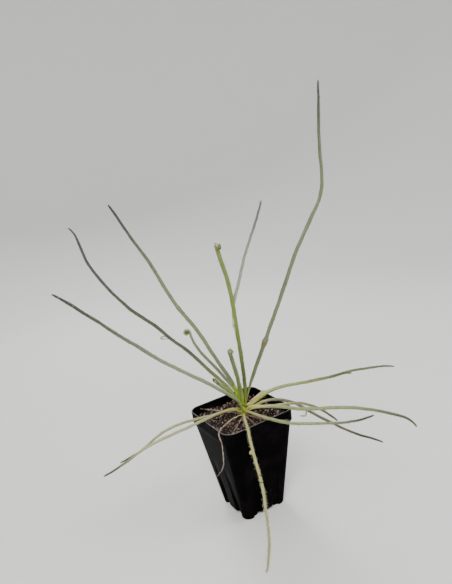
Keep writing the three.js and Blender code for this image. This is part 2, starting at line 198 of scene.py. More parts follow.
def mixColours(tree, blend="MIX"):
    node = addNode(tree, "ShaderNodeMix", data_type="RGBA", blend_type=blend)
    return node.inputs[0], node.inputs[6], node.inputs[7], node.outputs[2]


# Two tones broken up by noise
def buildMottle():
    group, given, made = makeGroup("mottle", [
        ("Tone A", "Color", (0.5, 0.5, 0.5, 1)), ("Tone B", "Color", (0.3, 0.3, 0.3, 1)),
        ("Scale", "Float", 300), ("Low", "Float", 0.4), ("High", "Float", 0.6),
        ("Stretch", "Vector", (1, 1, 1)),
    ], [("Color", "Color"), ("Mask", "Float")])
    where = addNode(group, "ShaderNodeTexCoord")
    stretch = addNode(group, "ShaderNodeVectorMath", operation="MULTIPLY")
    noise = addNode(group, "ShaderNodeTexNoise")
    noise.inputs["Detail"].default_value = 4
    noise.inputs["Roughness"].default_value = 0.6
    limit = addNode(group, "ShaderNodeMapRange")
    factor, first, second, result = mixColours(group)
    links = group.links
    links.new(where.outputs["Object"], stretch.inputs[0])
    links.new(given.outputs["Stretch"], stretch.inputs[1])
    links.new(stretch.outputs[0], noise.inputs["Vector"])
    links.new(given.outputs["Scale"], noise.inputs["Scale"])
    links.new(noise.outputs["Fac"], limit.inputs["Value"])
    links.new(given.outputs["Low"], limit.inputs["From Min"])
    links.new(given.outputs["High"], limit.inputs["From Max"])
    links.new(limit.outputs[0], factor)
    links.new(given.outputs["Tone A"], first)
    links.new(given.outputs["Tone B"], second)
    links.new(result, made.inputs["Color"])
    links.new(limit.outputs[0], made.inputs["Mask"])
    return group


# Colour that changes from the base of a leaf to its tip
def buildAlongLeaf():
    group, given, made = makeGroup("alongLeaf", [
        ("Base Tone", "Color", (0.5, 0.5, 0.2, 1)), ("Middle Tone", "Color", (0.3, 0.4, 0.1, 1)),
        ("Tip Tone", "Color", (0.4, 0.4, 0.3, 1)), ("Crown Tone", "Color", (0.24, 0.3, 0.05, 1)),
        ("Base End", "Float", 0.2), ("Tip Start", "Float", 0.6),
    ], [("Color", "Color"), ("Share", "Float")])
    share = addNode(group, "ShaderNodeAttribute", attribute_name="leafShare")
    baseFade = addNode(group, "ShaderNodeMapRange", interpolation_type="SMOOTHSTEP")
    tipFade = addNode(group, "ShaderNodeMapRange", interpolation_type="SMOOTHSTEP")
    tipFade.inputs["From Max"].default_value = 1
    baseFactor, baseFirst, baseSecond, baseResult = mixColours(group)
    tipFactor, tipFirst, tipSecond, tipResult = mixColours(group)
    crown = addNode(group, "ShaderNodeAttribute", attribute_name="nearCrown")
    crownFactor, crownFirst, crownSecond, crownResult = mixColours(group)
    links = group.links
    links.new(share.outputs["Fac"], baseFade.inputs["Value"])
    links.new(share.outputs["Fac"], tipFade.inputs["Value"])
    links.new(given.outputs["Base End"], baseFade.inputs["From Max"])
    links.new(given.outputs["Tip Start"], tipFade.inputs["From Min"])
    links.new(baseFade.outputs[0], baseFactor)
    links.new(given.outputs["Base Tone"], baseFirst)
    links.new(given.outputs["Middle Tone"], baseSecond)
    links.new(tipFade.outputs[0], tipFactor)
    links.new(baseResult, tipFirst)
    links.new(given.outputs["Tip Tone"], tipSecond)
    links.new(crown.outputs["Fac"], crownFactor)
    links.new(tipResult, crownFirst)
    links.new(given.outputs["Crown Tone"], crownSecond)
    links.new(crownResult, made.inputs["Color"])
    links.new(share.outputs["Fac"], made.inputs["Share"])
    return group


# Fine bumps from noise
def buildGrain():
    group, given, made = makeGroup("grain", [
        ("Scale", "Float", 800), ("Strength", "Float", 0.3), ("Depth", "Float", 0.0002),
        ("Stretch", "Vector", (1, 1, 1)),
    ], [("Normal", "Vector"), ("Height", "Float")])
    where = addNode(group, "ShaderNodeTexCoord")
    stretch = addNode(group, "ShaderNodeVectorMath", operation="MULTIPLY")
    noise = addNode(group, "ShaderNodeTexNoise")
    noise.inputs["Detail"].default_value = 5
    noise.inputs["Roughness"].default_value = 0.62
    bump = addNode(group, "ShaderNodeBump")
    links = group.links
    links.new(where.outputs["Object"], stretch.inputs[0])
    links.new(given.outputs["Stretch"], stretch.inputs[1])
    links.new(stretch.outputs[0], noise.inputs["Vector"])
    links.new(given.outputs["Scale"], noise.inputs["Scale"])
    links.new(noise.outputs["Fac"], bump.inputs["Height"])
    links.new(given.outputs["Strength"], bump.inputs["Strength"])
    links.new(given.outputs["Depth"], bump.inputs["Distance"])
    links.new(bump.outputs[0], made.inputs["Normal"])
    links.new(noise.outputs["Fac"], made.inputs["Height"])
    return group


mottle = buildMottle()
alongLeaf = buildAlongLeaf()
grain = buildGrain()


def startMaterial(name, roughness, **sockets):
    material = bpy.data.materials.new(name)
    material.use_nodes = True
    tree = material.node_tree
    shader = tree.nodes["Principled BSDF"]
    shader.inputs["Roughness"].default_value = roughness
    for label, value in sockets.items():
        shader.inputs[label.replace("_", " ")].default_value = value
    return material, tree, shader


def tone(r, g, b):
    return (r, g, b, 1)


def makeLeafMaterial(name, tones, baseEnd=0.3, tipStart=0.45, patchTone=(0.24, 0.15, 0.05),
                     crownTone=(0.24, 0.3, 0.05)):
    # tones are base, middle and tip; the patch mask tints patches, pale bands and dark ends, where the dark
    # inner turns of a roll are painted shade
    base, middle, tip = (tone(*part) for part in tones)
    material, tree, shader = startMaterial(
        name, 0.45, Coat_Weight=0.08, Coat_Roughness=0.3, Specular_IOR_Level=0.25,
        Subsurface_Weight=0.1, Subsurface_Scale=0.0015)
    links = tree.links
    length = placeGroup(tree, alongLeaf, baseTone=base, middleTone=middle, tipTone=tip,
                        crownTone=tone(*crownTone), baseEnd=baseEnd, tipStart=tipStart)
    flecks = placeGroup(tree, mottle, toneA=tone(1.08, 1.08, 1.06), toneB=tone(0.68, 0.70, 0.56), scale=380,
                        low=0.44, high=0.72)
    factor, first, second, result = mixColours(tree, "MULTIPLY")
    factor.default_value = 0.7
    links.new(length.outputs["Color"], first)
    links.new(flecks.outputs["Color"], second)
    # painted shade: the channel along the top of the leaf is darkened towards 0.6 of the middle tone
    channel = addNode(tree, "ShaderNodeAttribute", attribute_name="channel")
    shadeFactor, shadeFirst, shadeSecond, shadeResult = mixColours(tree)
    shadeSecond.default_value = tone(*(0.6 * value for value in middle[:3]))
    links.new(channel.outputs["Fac"], shadeFactor)
    links.new(result, shadeFirst)
    patch = addNode(tree, "ShaderNodeAttribute", attribute_name="patch")
    tintFactor, tintFirst, tintSecond, tintResult = mixColours(tree)
    tintSecond.default_value = tone(*patchTone)
    links.new(patch.outputs["Fac"], tintFactor)
    links.new(shadeResult, tintFirst)
    links.new(tintResult, shader.inputs["Base Color"])
    relief = placeGroup(tree, grain, scale=1500, strength=0.45, depth=0.00012)
    links.new(relief.outputs["Normal"], shader.inputs["Normal"])
    rough = addNode(tree, "ShaderNodeMapRange")
    rough.inputs["To Min"].default_value = 0.36
    rough.inputs["To Max"].default_value = 0.6
    links.new(flecks.outputs["Mask"], rough.inputs["Value"])
    links.new(rough.outputs[0], shader.inputs["Roughness"])
    return material


# Gland stalks, pale green turning red brown in the head
def makeStalkMaterial():
    material, tree, shader = startMaterial("glandStalk", 0.35)
    head = addNode(tree, "ShaderNodeAttribute", attribute_name="headMask")
    colour = placeGroup(tree, mottle, toneA=tone(0.34, 0.37, 0.17), toneB=tone(0.25, 0.26, 0.12), scale=500)
    factor, first, second, result = mixColours(tree)
    second.default_value = tone(0.28, 0.19, 0.09)
    tree.links.new(head.outputs["Fac"], factor)
    tree.links.new(colour.outputs["Color"], first)
    tree.links.new(result, shader.inputs["Base Color"])
    return material


def makeDewMaterial():
    material, tree, shader = startMaterial(
        "dew", 0.14, Transmission_Weight=0.4, IOR=1.36, Specular_IOR_Level=0.4,
        Base_Color=tone(0.45, 0.47, 0.34))
    return material


# Thick dew on the rolled tips, painted white as a painted highlight where light catches it
def makeDewHighlightMaterial():
    material, tree, shader = startMaterial(
        "dewCap", 0.2, Transmission_Weight=0.1, IOR=1.36, Specular_IOR_Level=0.4)
    colour = placeGroup(tree, mottle, toneA=tone(0.72, 0.74, 0.6), toneB=tone(0.5, 0.53, 0.36), scale=700)
    tree.links.new(colour.outputs["Color"], shader.inputs["Base Color"])
    return material


def makeWitheredMaterial(name, tones):
    base, middle, tip = (tone(*part) for part in tones)
    material, tree, shader = startMaterial(name, 0.78, Specular_IOR_Level=0.2)
    length = placeGroup(tree, alongLeaf, baseTone=base, middleTone=middle, tipTone=tip,
                        baseEnd=0.4, tipStart=0.5)
    bands = placeGroup(tree, mottle, toneA=tone(1.1, 1.08, 1.05), toneB=tone(0.62, 0.58, 0.54), scale=260,
                       low=0.42, high=0.66)
    factor, first, second, result = mixColours(tree, "MULTIPLY")
    factor.default_value = 1
    tree.links.new(length.outputs["Color"], first)
    tree.links.new(bands.outputs["Color"], second)
    tree.links.new(result, shader.inputs["Base Color"])
    relief = placeGroup(tree, grain, scale=1100, strength=0.6, depth=0.0002)
    tree.links.new(relief.outputs["Normal"], shader.inputs["Normal"])
    return material


# Black moulded plastic with faint scuffs, dust and dried water marks, and a painted highlight along the lip
def makePotMaterial():
    material, tree, shader = startMaterial("potPlastic", 0.3, Specular_IOR_Level=0.004)
    links = tree.links
    dust = placeGroup(tree, mottle, toneA=tone(0.002, 0.0018, 0.002), toneB=tone(0.007, 0.0055, 0.0057),
                      scale=38, low=0.45, high=0.8)
    specks = placeGroup(tree, mottle, toneA=tone(0, 0, 0), toneB=tone(0.05, 0.044, 0.038), scale=900,
                        low=0.70, high=0.76)
    factor, first, second, result = mixColours(tree, "ADD")
    factor.default_value = 0.8
    links.new(dust.outputs["Color"], first)
    links.new(specks.outputs["Color"], second)
    # painted highlight: the lip is painted a lighter grey for the light line along the rim
    where = addNode(tree, "ShaderNodeTexCoord")
    split = addNode(tree, "ShaderNodeSeparateXYZ")
    lip = addNode(tree, "ShaderNodeMapRange")
    lip.inputs["From Min"].default_value = 0.0996
    lip.inputs["From Max"].default_value = 0.0999
    lipHighlightFactor, lipHighlightFirst, lipHighlightSecond, lipHighlightResult = mixColours(tree)
    lipHighlightSecond.default_value = tone(0.14, 0.135, 0.135)
    links.new(where.outputs["Object"], split.inputs[0])
    links.new(split.outputs["Z"], lip.inputs["Value"])
    links.new(lip.outputs[0], lipHighlightFactor)
    links.new(result, lipHighlightFirst)
    links.new(lipHighlightResult, shader.inputs["Base Color"])
    rough = addNode(tree, "ShaderNodeMapRange")
    rough.inputs["To Min"].default_value = 0.2
    rough.inputs["To Max"].default_value = 0.4
    links.new(dust.outputs["Mask"], rough.inputs["Value"])
    links.new(rough.outputs[0], shader.inputs["Roughness"])
    relief = placeGroup(tree, grain, scale=260, strength=0.25, depth=0.0002)
    links.new(relief.outputs["Normal"], shader.inputs["Normal"])
    return material


def makeGritMaterial(name, toneA, toneB, roughness, scale=350, depth=0.0004):
    material, tree, shader = startMaterial(name, roughness, Specular_IOR_Level=0.3)
    colour = placeGroup(tree, mottle, toneA=toneA, toneB=toneB, scale=scale, low=0.4, high=0.62)
    tree.links.new(colour.outputs["Color"], shader.inputs["Base Color"])
    relief = placeGroup(tree, grain, scale=1400, strength=0.9, depth=depth)
    tree.links.new(relief.outputs["Normal"], shader.inputs["Normal"])
    return material


stalkMaterial = makeStalkMaterial()
dewMaterial = makeDewMaterial()
dewHighlightMaterial = makeDewHighlightMaterial()
strawMaterial = makeWitheredMaterial("straw", ((0.46, 0.35, 0.18), (0.58, 0.49, 0.26), (0.36, 0.26, 0.14)))
dryMaterial = makeWitheredMaterial("dryGrey", ((0.36, 0.35, 0.28), (0.38, 0.37, 0.32), (0.44, 0.43, 0.38)))
foldMaterial = makeWitheredMaterial("paleFold", ((0.40, 0.46, 0.22), (0.50, 0.54, 0.34), (0.42, 0.48, 0.24)))
potMaterial = makePotMaterial()
peatMaterial = makeGritMaterial("peat", tone(0.011, 0.007, 0.005), tone(0.032, 0.020, 0.014), 0.9)
barkMaterial = makeGritMaterial("barkCrumbs", tone(0.11, 0.068, 0.055), tone(0.30, 0.20, 0.175), 0.85)
gravelMaterial = makeGritMaterial("paleGrit", tone(0.50, 0.40, 0.34), tone(0.30, 0.21, 0.18), 0.7)
print("materials made")

# Square pot: the same driving sizes as the solid, in millimetres
potSpec = {
    "height": 100, "rimSide": 75, "bottomSide": 46, "rimCorner": 10.5, "bottomCorner": 7,
    "collarHeight": 12, "collarStep": 1.3, "wall": 1.2, "footHeight": 3, "footSide": 13, "floor": 1.5,
    "padRadius": 6, "drainRadius": 3, "drainOffset": 14, "cornerSteps": 10, "sideSteps": 44,
}
fluteSpec = {"width": 7.5, "offset": 10.5, "depth": 2.2, "height": 56, "edge": 0.9}
collarBase = potSpec["height"] - potSpec["collarHeight"]
bodyTopSide = potSpec["rimSide"] - 2 * potSpec["collarStep"] - 0.8
floorTop = potSpec["footHeight"] + potSpec["floor"]


def bodySide(z):
    return potSpec["bottomSide"] + (bodyTopSide - potSpec["bottomSide"]) * z / collarBase


def bodyCorner(z):
    growth = potSpec["rimCorner"] - potSpec["collarStep"] - potSpec["bottomCorner"]
    return potSpec["bottomCorner"] + growth * z / collarBase


def turnedPoint(x, y, z, turn):
    return x * math.cos(turn) - y * math.sin(turn), x * math.sin(turn) + y * math.cos(turn), z


def squareRing(side, corner, z, flutes=0.0):
    # outline of a square with round corners; flutes sinks two grooves into each side
    inner = side / 2 - corner
    points = []
    for face in range(4):
        turn = face * 90 * degrees
        for i in range(potSpec["sideSteps"]):
            t = -inner + 2 * inner * i / potSpec["sideSteps"]
            near = abs(abs(t) - fluteSpec["offset"])
            sunk = 1 - np.clip((near - fluteSpec["width"] / 2) / fluteSpec["edge"] + 0.5, 0, 1)
            x = side / 2 - flutes * sunk
            points.append(turnedPoint(x, t, z, turn))
        for i in range(potSpec["cornerSteps"]):
            angle = 90 * degrees * i / potSpec["cornerSteps"]
            x = inner + corner * math.cos(angle)
            y = inner + corner * math.sin(angle)
            points.append(turnedPoint(x, y, z, turn))
    return np.array(points) * mm


def insideRings(inset, top):
    backed = 2 * (fluteSpec["depth"] + potSpec["wall"])
    wall = potSpec["wall"]
    fluteTop = fluteSpec["height"]
    table = [
        (potSpec["bottomSide"] - backed, potSpec["bottomCorner"] - 2, floorTop + inset),
        (bodySide(fluteTop) - 2 * wall, bodyCorner(fluteTop) - wall, fluteTop),
        (bodySide(collarBase) - 2 * wall, bodyCorner(collarBase) - wall, collarBase - 0.4),
        (potSpec["rimSide"] - 0.9 - 2 * wall, potSpec["rimCorner"] - wall, collarBase + 1.6),
        (potSpec["rimSide"] - 2 * wall, potSpec["rimCorner"] - wall, potSpec["height"] + 1),
    ]
    levels = sorted([row[2] for row in table if row[2] < top] + list(np.arange(8, min(top, 99), 8.0)) + [top])
    sides, corners = ([np.interp(z, [row[2] for row in table], [row[k] for row in table]) for z in levels]
                      for k in (0, 1))
    return [squareRing(s - 2 * inset, c - inset, z) for s, c, z in zip(sides, corners, levels)]


def cutBox(name, size, centre):
    x, y, z = (s / 2 for s in size)
    corners = [(sx * x, sy * y, sz * z) for sz in (-1, 1) for sy in (-1, 1) for sx in (-1, 1)]
    points = (np.array(corners) + centre) * mm
    faces = [(0, 2, 3, 1), (4, 5, 7, 6), (0, 1, 5, 4), (2, 6, 7, 3), (0, 4, 6, 2), (1, 3, 7, 5)]
    return meshObject(name, points, faces, [])


def cutDisc(name, radius, low, high, centre, sides=40):
    angle = np.arange(sides) / sides * 2 * math.pi
    ring = np.stack([centre[0] + radius * np.cos(angle), centre[1] + radius * np.sin(angle)], 1)
    rings = [np.column_stack([ring, np.full(sides, z)]) * mm for z in (low, high)]
    return meshObject(name, loftPoints(rings), loftFaces(2, sides), [])


def combine(piece, tool, operation):
    step = piece.modifiers.new("cut", "BOOLEAN")
    step.object = tool
    step.operation = operation
    step.solver = "MANIFOLD"
    with bpy.context.temp_override(object=piece, active_object=piece):
        bpy.ops.object.modifier_apply(modifier=step.name)
    bpy.data.objects.remove(tool)


def buildPot():
    spec = potSpec
    rim, rimCorner, high = spec["rimSide"], spec["rimCorner"], spec["height"]
    outside = [squareRing(spec["bottomSide"] - 1.2, spec["bottomCorner"] - 0.6, 0, fluteSpec["depth"])]
    for z in np.concatenate([[0.35, 0.9], np.arange(2, fluteSpec["height"] + 1, 2), np.arange(60, 87, 4)]):
        shrink = 0.25 if z < 0.5 else 0
        flutes = max(0, fluteSpec["depth"] * (1 - z / fluteSpec["height"]))
        outside.append(squareRing(bodySide(z) - shrink, bodyCorner(z), z, flutes))
    # the collar steps out with a small round, and its lip is round
    for share, level in ((0, -0.9), (0.12, -0.35), (0.5, 0.0), (0.85, 0.15), (0.97, 0.6)):
        side = bodySide(collarBase) + (rim - 0.6 - bodySide(collarBase)) * share
        outside.append(squareRing(side, bodyCorner(collarBase) + 1.0 * share, collarBase + level))
    for z in np.linspace(collarBase + 2, high - 1.4, 4):
        outside.append(squareRing(rim - 0.6 + 0.6 * (z - collarBase) / 12, rimCorner - 0.1, z))
    lip = spec["wall"] / 2
    for angle in (0, 30, 60, 90, 120, 150, 180):
        shift = lip * (1 - math.cos(angle * degrees))
        rise = lip * math.sin(angle * degrees)
        outside.append(squareRing(rim - 2 * shift, rimCorner - shift, high - lip + rise))
    inside = insideRings(0, high - 1.5)[::-1]
    rings = outside + inside
    pot = meshObject("potBody", loftPoints(rings), loftFaces(len(rings), len(rings[0])), [potMaterial])
    channel = spec["bottomSide"] - 2 * spec["footSide"]
    middle = spec["footHeight"] / 2 - 0.5
    combine(pot, cutBox("channelX", (80, channel, spec["footHeight"] + 1), (0, 0, middle)), "DIFFERENCE")
    combine(pot, cutBox("channelY", (channel, 80, spec["footHeight"] + 1), (0, 0, middle)), "DIFFERENCE")
    combine(pot, cutDisc("pad", spec["padRadius"], 0, floorTop - 0.5, (0, 0)), "UNION")
    for side in range(4):
        turn = side * 90 * degrees
        centre = (spec["drainOffset"] * math.cos(turn), spec["drainOffset"] * math.sin(turn))
        combine(pot, cutDisc("drain", spec["drainRadius"], -1, floorTop + 1, centre), "DIFFERENCE")
    pot.data.materials.clear()
    pot.data.materials.append(potMaterial)
    pot.data.shade_smooth()
    pot.data.set_sharp_from_angle(angle=38 * degrees)
    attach(pot, "root")
    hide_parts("pot")


buildPot()
print("pot built")

# Potting mix: a swell, crumbs and grit
soilSpec = {
    "level": 91.6, "swell": 1.6, "edge": -1.2, "rings": 46,
    "roughness": [(2.7, 0.45), (1.1, 0.28), (0.55, 0.14)],
}
crownPlace = (2.5, -1.5)


def noiseField(x, y, size, seed):
    # smooth random field from a seeded sum of waves, size in millimetres
    source = np.random.RandomState(seed)
    total = np.zeros_like(x)
    for _ in range(9):
        angle = source.uniform(0, 2 * math.pi)
        length = size * source.uniform(1.4, 3.2)
        total += np.sin((x * math.cos(angle) + y * math.sin(angle)) * 2 * math.pi / length
                        + source.uniform(0, 2 * math.pi))
    return total / 9 ** 0.5


def soilHeight(x, y):
    ripple = np.sin(x * 0.31 + 1.3) * np.cos(y * 0.27 - 0.6) + 0.5 * np.sin(x * 0.7 - y * 0.55)
    mound = np.exp(-((x - crownPlace[0]) ** 2 + (y - crownPlace[1]) ** 2) / 180)
    return soilSpec["level"] + soilSpec["swell"] * (0.32 * ripple + 0.35 * mound)


def roughSoil(x, y):
    total = soilHeight(x, y)
    for k, (size, amount) in enumerate(soilSpec["roughness"]):
        total = total + amount * noiseField(x, y, size, 20 + k)
    return total


def buildSoil():
    rings = insideRings(0.3, soilSpec["level"] + soilSpec["edge"])
    rim = rings[-1] / mm
    for r in range(1, soilSpec["rings"]):
        share = 1 - r / soilSpec["rings"]
        x, y = rim[:, 0] * share, rim[:, 1] * share
        rings.append(np.column_stack([x, y, roughSoil(x, y)]) * mm)
    soil = meshObject("pottingMix", loftPoints(rings), loftFaces(len(rings), len(rim)), [peatMaterial])
    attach(soil, "root")
    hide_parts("soil")


def randomTurns(source, count):
    quats = source.normal(size=(count, 4))
    quats /= np.linalg.norm(quats, axis=1, keepdims=True)
    w, x, y, z = quats.T
    return np.stack([
        np.stack([1 - 2 * (y * y + z * z), 2 * (x * y - z * w), 2 * (x * z + y * w)], 1),
        np.stack([2 * (x * y + z * w), 1 - 2 * (x * x + z * z), 2 * (y * z - x * w)], 1),
        np.stack([2 * (x * z - y * w), 2 * (y * z + x * w), 1 - 2 * (x * x + y * y)], 1),
    ], 1)


crumbShapes = 6  # how many different crumbs are scattered in each kind
# Crumbs by kind: how many, radius range in millimetres, how far they are sunk and mesh level
crumbSpecs = {
    "peatCrumbs": {
        "count": 2400, "size": (0.35, 1.1), "sink": 0.15, "level": 0, "seed": 1, "look": peatMaterial,
    },
    "peatLumps": {
        "count": 190, "size": (1.0, 2.1), "sink": 0.3, "level": 1, "seed": 2, "look": peatMaterial,
    },
    "barkCrumbs": {
        "count": 760, "size": (0.35, 1.25), "sink": 0.05, "level": 1, "seed": 3, "look": barkMaterial,
    },
    "paleGrit": {
        "count": 190, "size": (0.35, 1.15), "sink": 0.0, "level": 1, "seed": 4, "look": gravelMaterial,
    },
}
# Grains that show by themselves: place in millimetres, worked out by a separate program, and radius
namedGrit = [((-9.5, -28.5), 1.5), ((-32.5, 24.5), 1.5), ((-31.0, 22.6), 1.0), ((27.5, -21.5), 1.3),
             ((25.2, -19.6), 1.1), ((29.6, -19.2), 1.2), ((23.4, -22.6), 0.9), ((-6.6, -30.2), 0.9),
             ((20, -9.8), 1.0), ((24.5, -10), 1.1), ((27.8, -12.2), 1.0), ((18, -16), 0.9),
             ((22.5, -18), 1.1), ((-24.2, 10.2), 1.2), ((-25.8, 2), 0.9), ((-19.2, 7.5), 0.8),
             ((-15.2, -19.5), 0.9)]


def scatterCrumbs(name, spec):
    source = np.random.RandomState(spec["seed"])
    small, large = spec["size"]
    half = potSpec["rimSide"] / 2 - potSpec["wall"] - 1.6
    places, sizes = [], []
    while len(places) < spec["count"]:
        x, y = source.uniform(-half, half, 2)
        corner = np.hypot(max(abs(x) - half + 8, 0), max(abs(y) - half + 8, 0))
        size = small + (large - small) * source.uniform() ** 2.2
        if corner > 8 or math.hypot(x - crownPlace[0], y - crownPlace[1]) < 2.8 + size:
            continue
        places.append((x, y))
        sizes.append(size)
    if name == "paleGrit":
        places += [place for place, _ in namedGrit]
        sizes += [size for _, size in namedGrit]
    places, sizes = np.array(places), np.array(sizes)
    height = roughSoil(places[:, 0], places[:, 1]) + sizes * (0.35 - spec["sink"])
    centres = np.column_stack([places, height]) * mm
    shapes = []
    base, faces = icosphere(spec["level"])
    for k in range(crumbShapes):
        jitter = np.random.RandomState(50 + k).uniform(0.68, 1.2, size=(len(base), 1))
        shapes.append(base * jitter)
    stretch = source.uniform(0.62, 1.25, size=(len(places), 3)) * sizes[:, None] * mm
    turns = randomTurns(source, len(places))
    kinds = source.randint(0, crumbShapes, len(places))
    points, quads, start = [], [], 0
    for k in range(crumbShapes):
        chosen = kinds == k
        some, someFaces = manyCopies(shapes[k], faces, centres[chosen], turns[chosen], stretch[chosen])
        points.append(some)
        quads.append(someFaces + start)
        start += len(some)
    crumbs = meshObject(name, np.vstack(points), np.vstack(quads), [spec["look"]], sharpAngle=50)
    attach(crumbs, "root")


buildSoil()
for crumbName, crumbSpec in crumbSpecs.items():
    scatterCrumbs(crumbName, crumbSpec)
print("potting mix built")

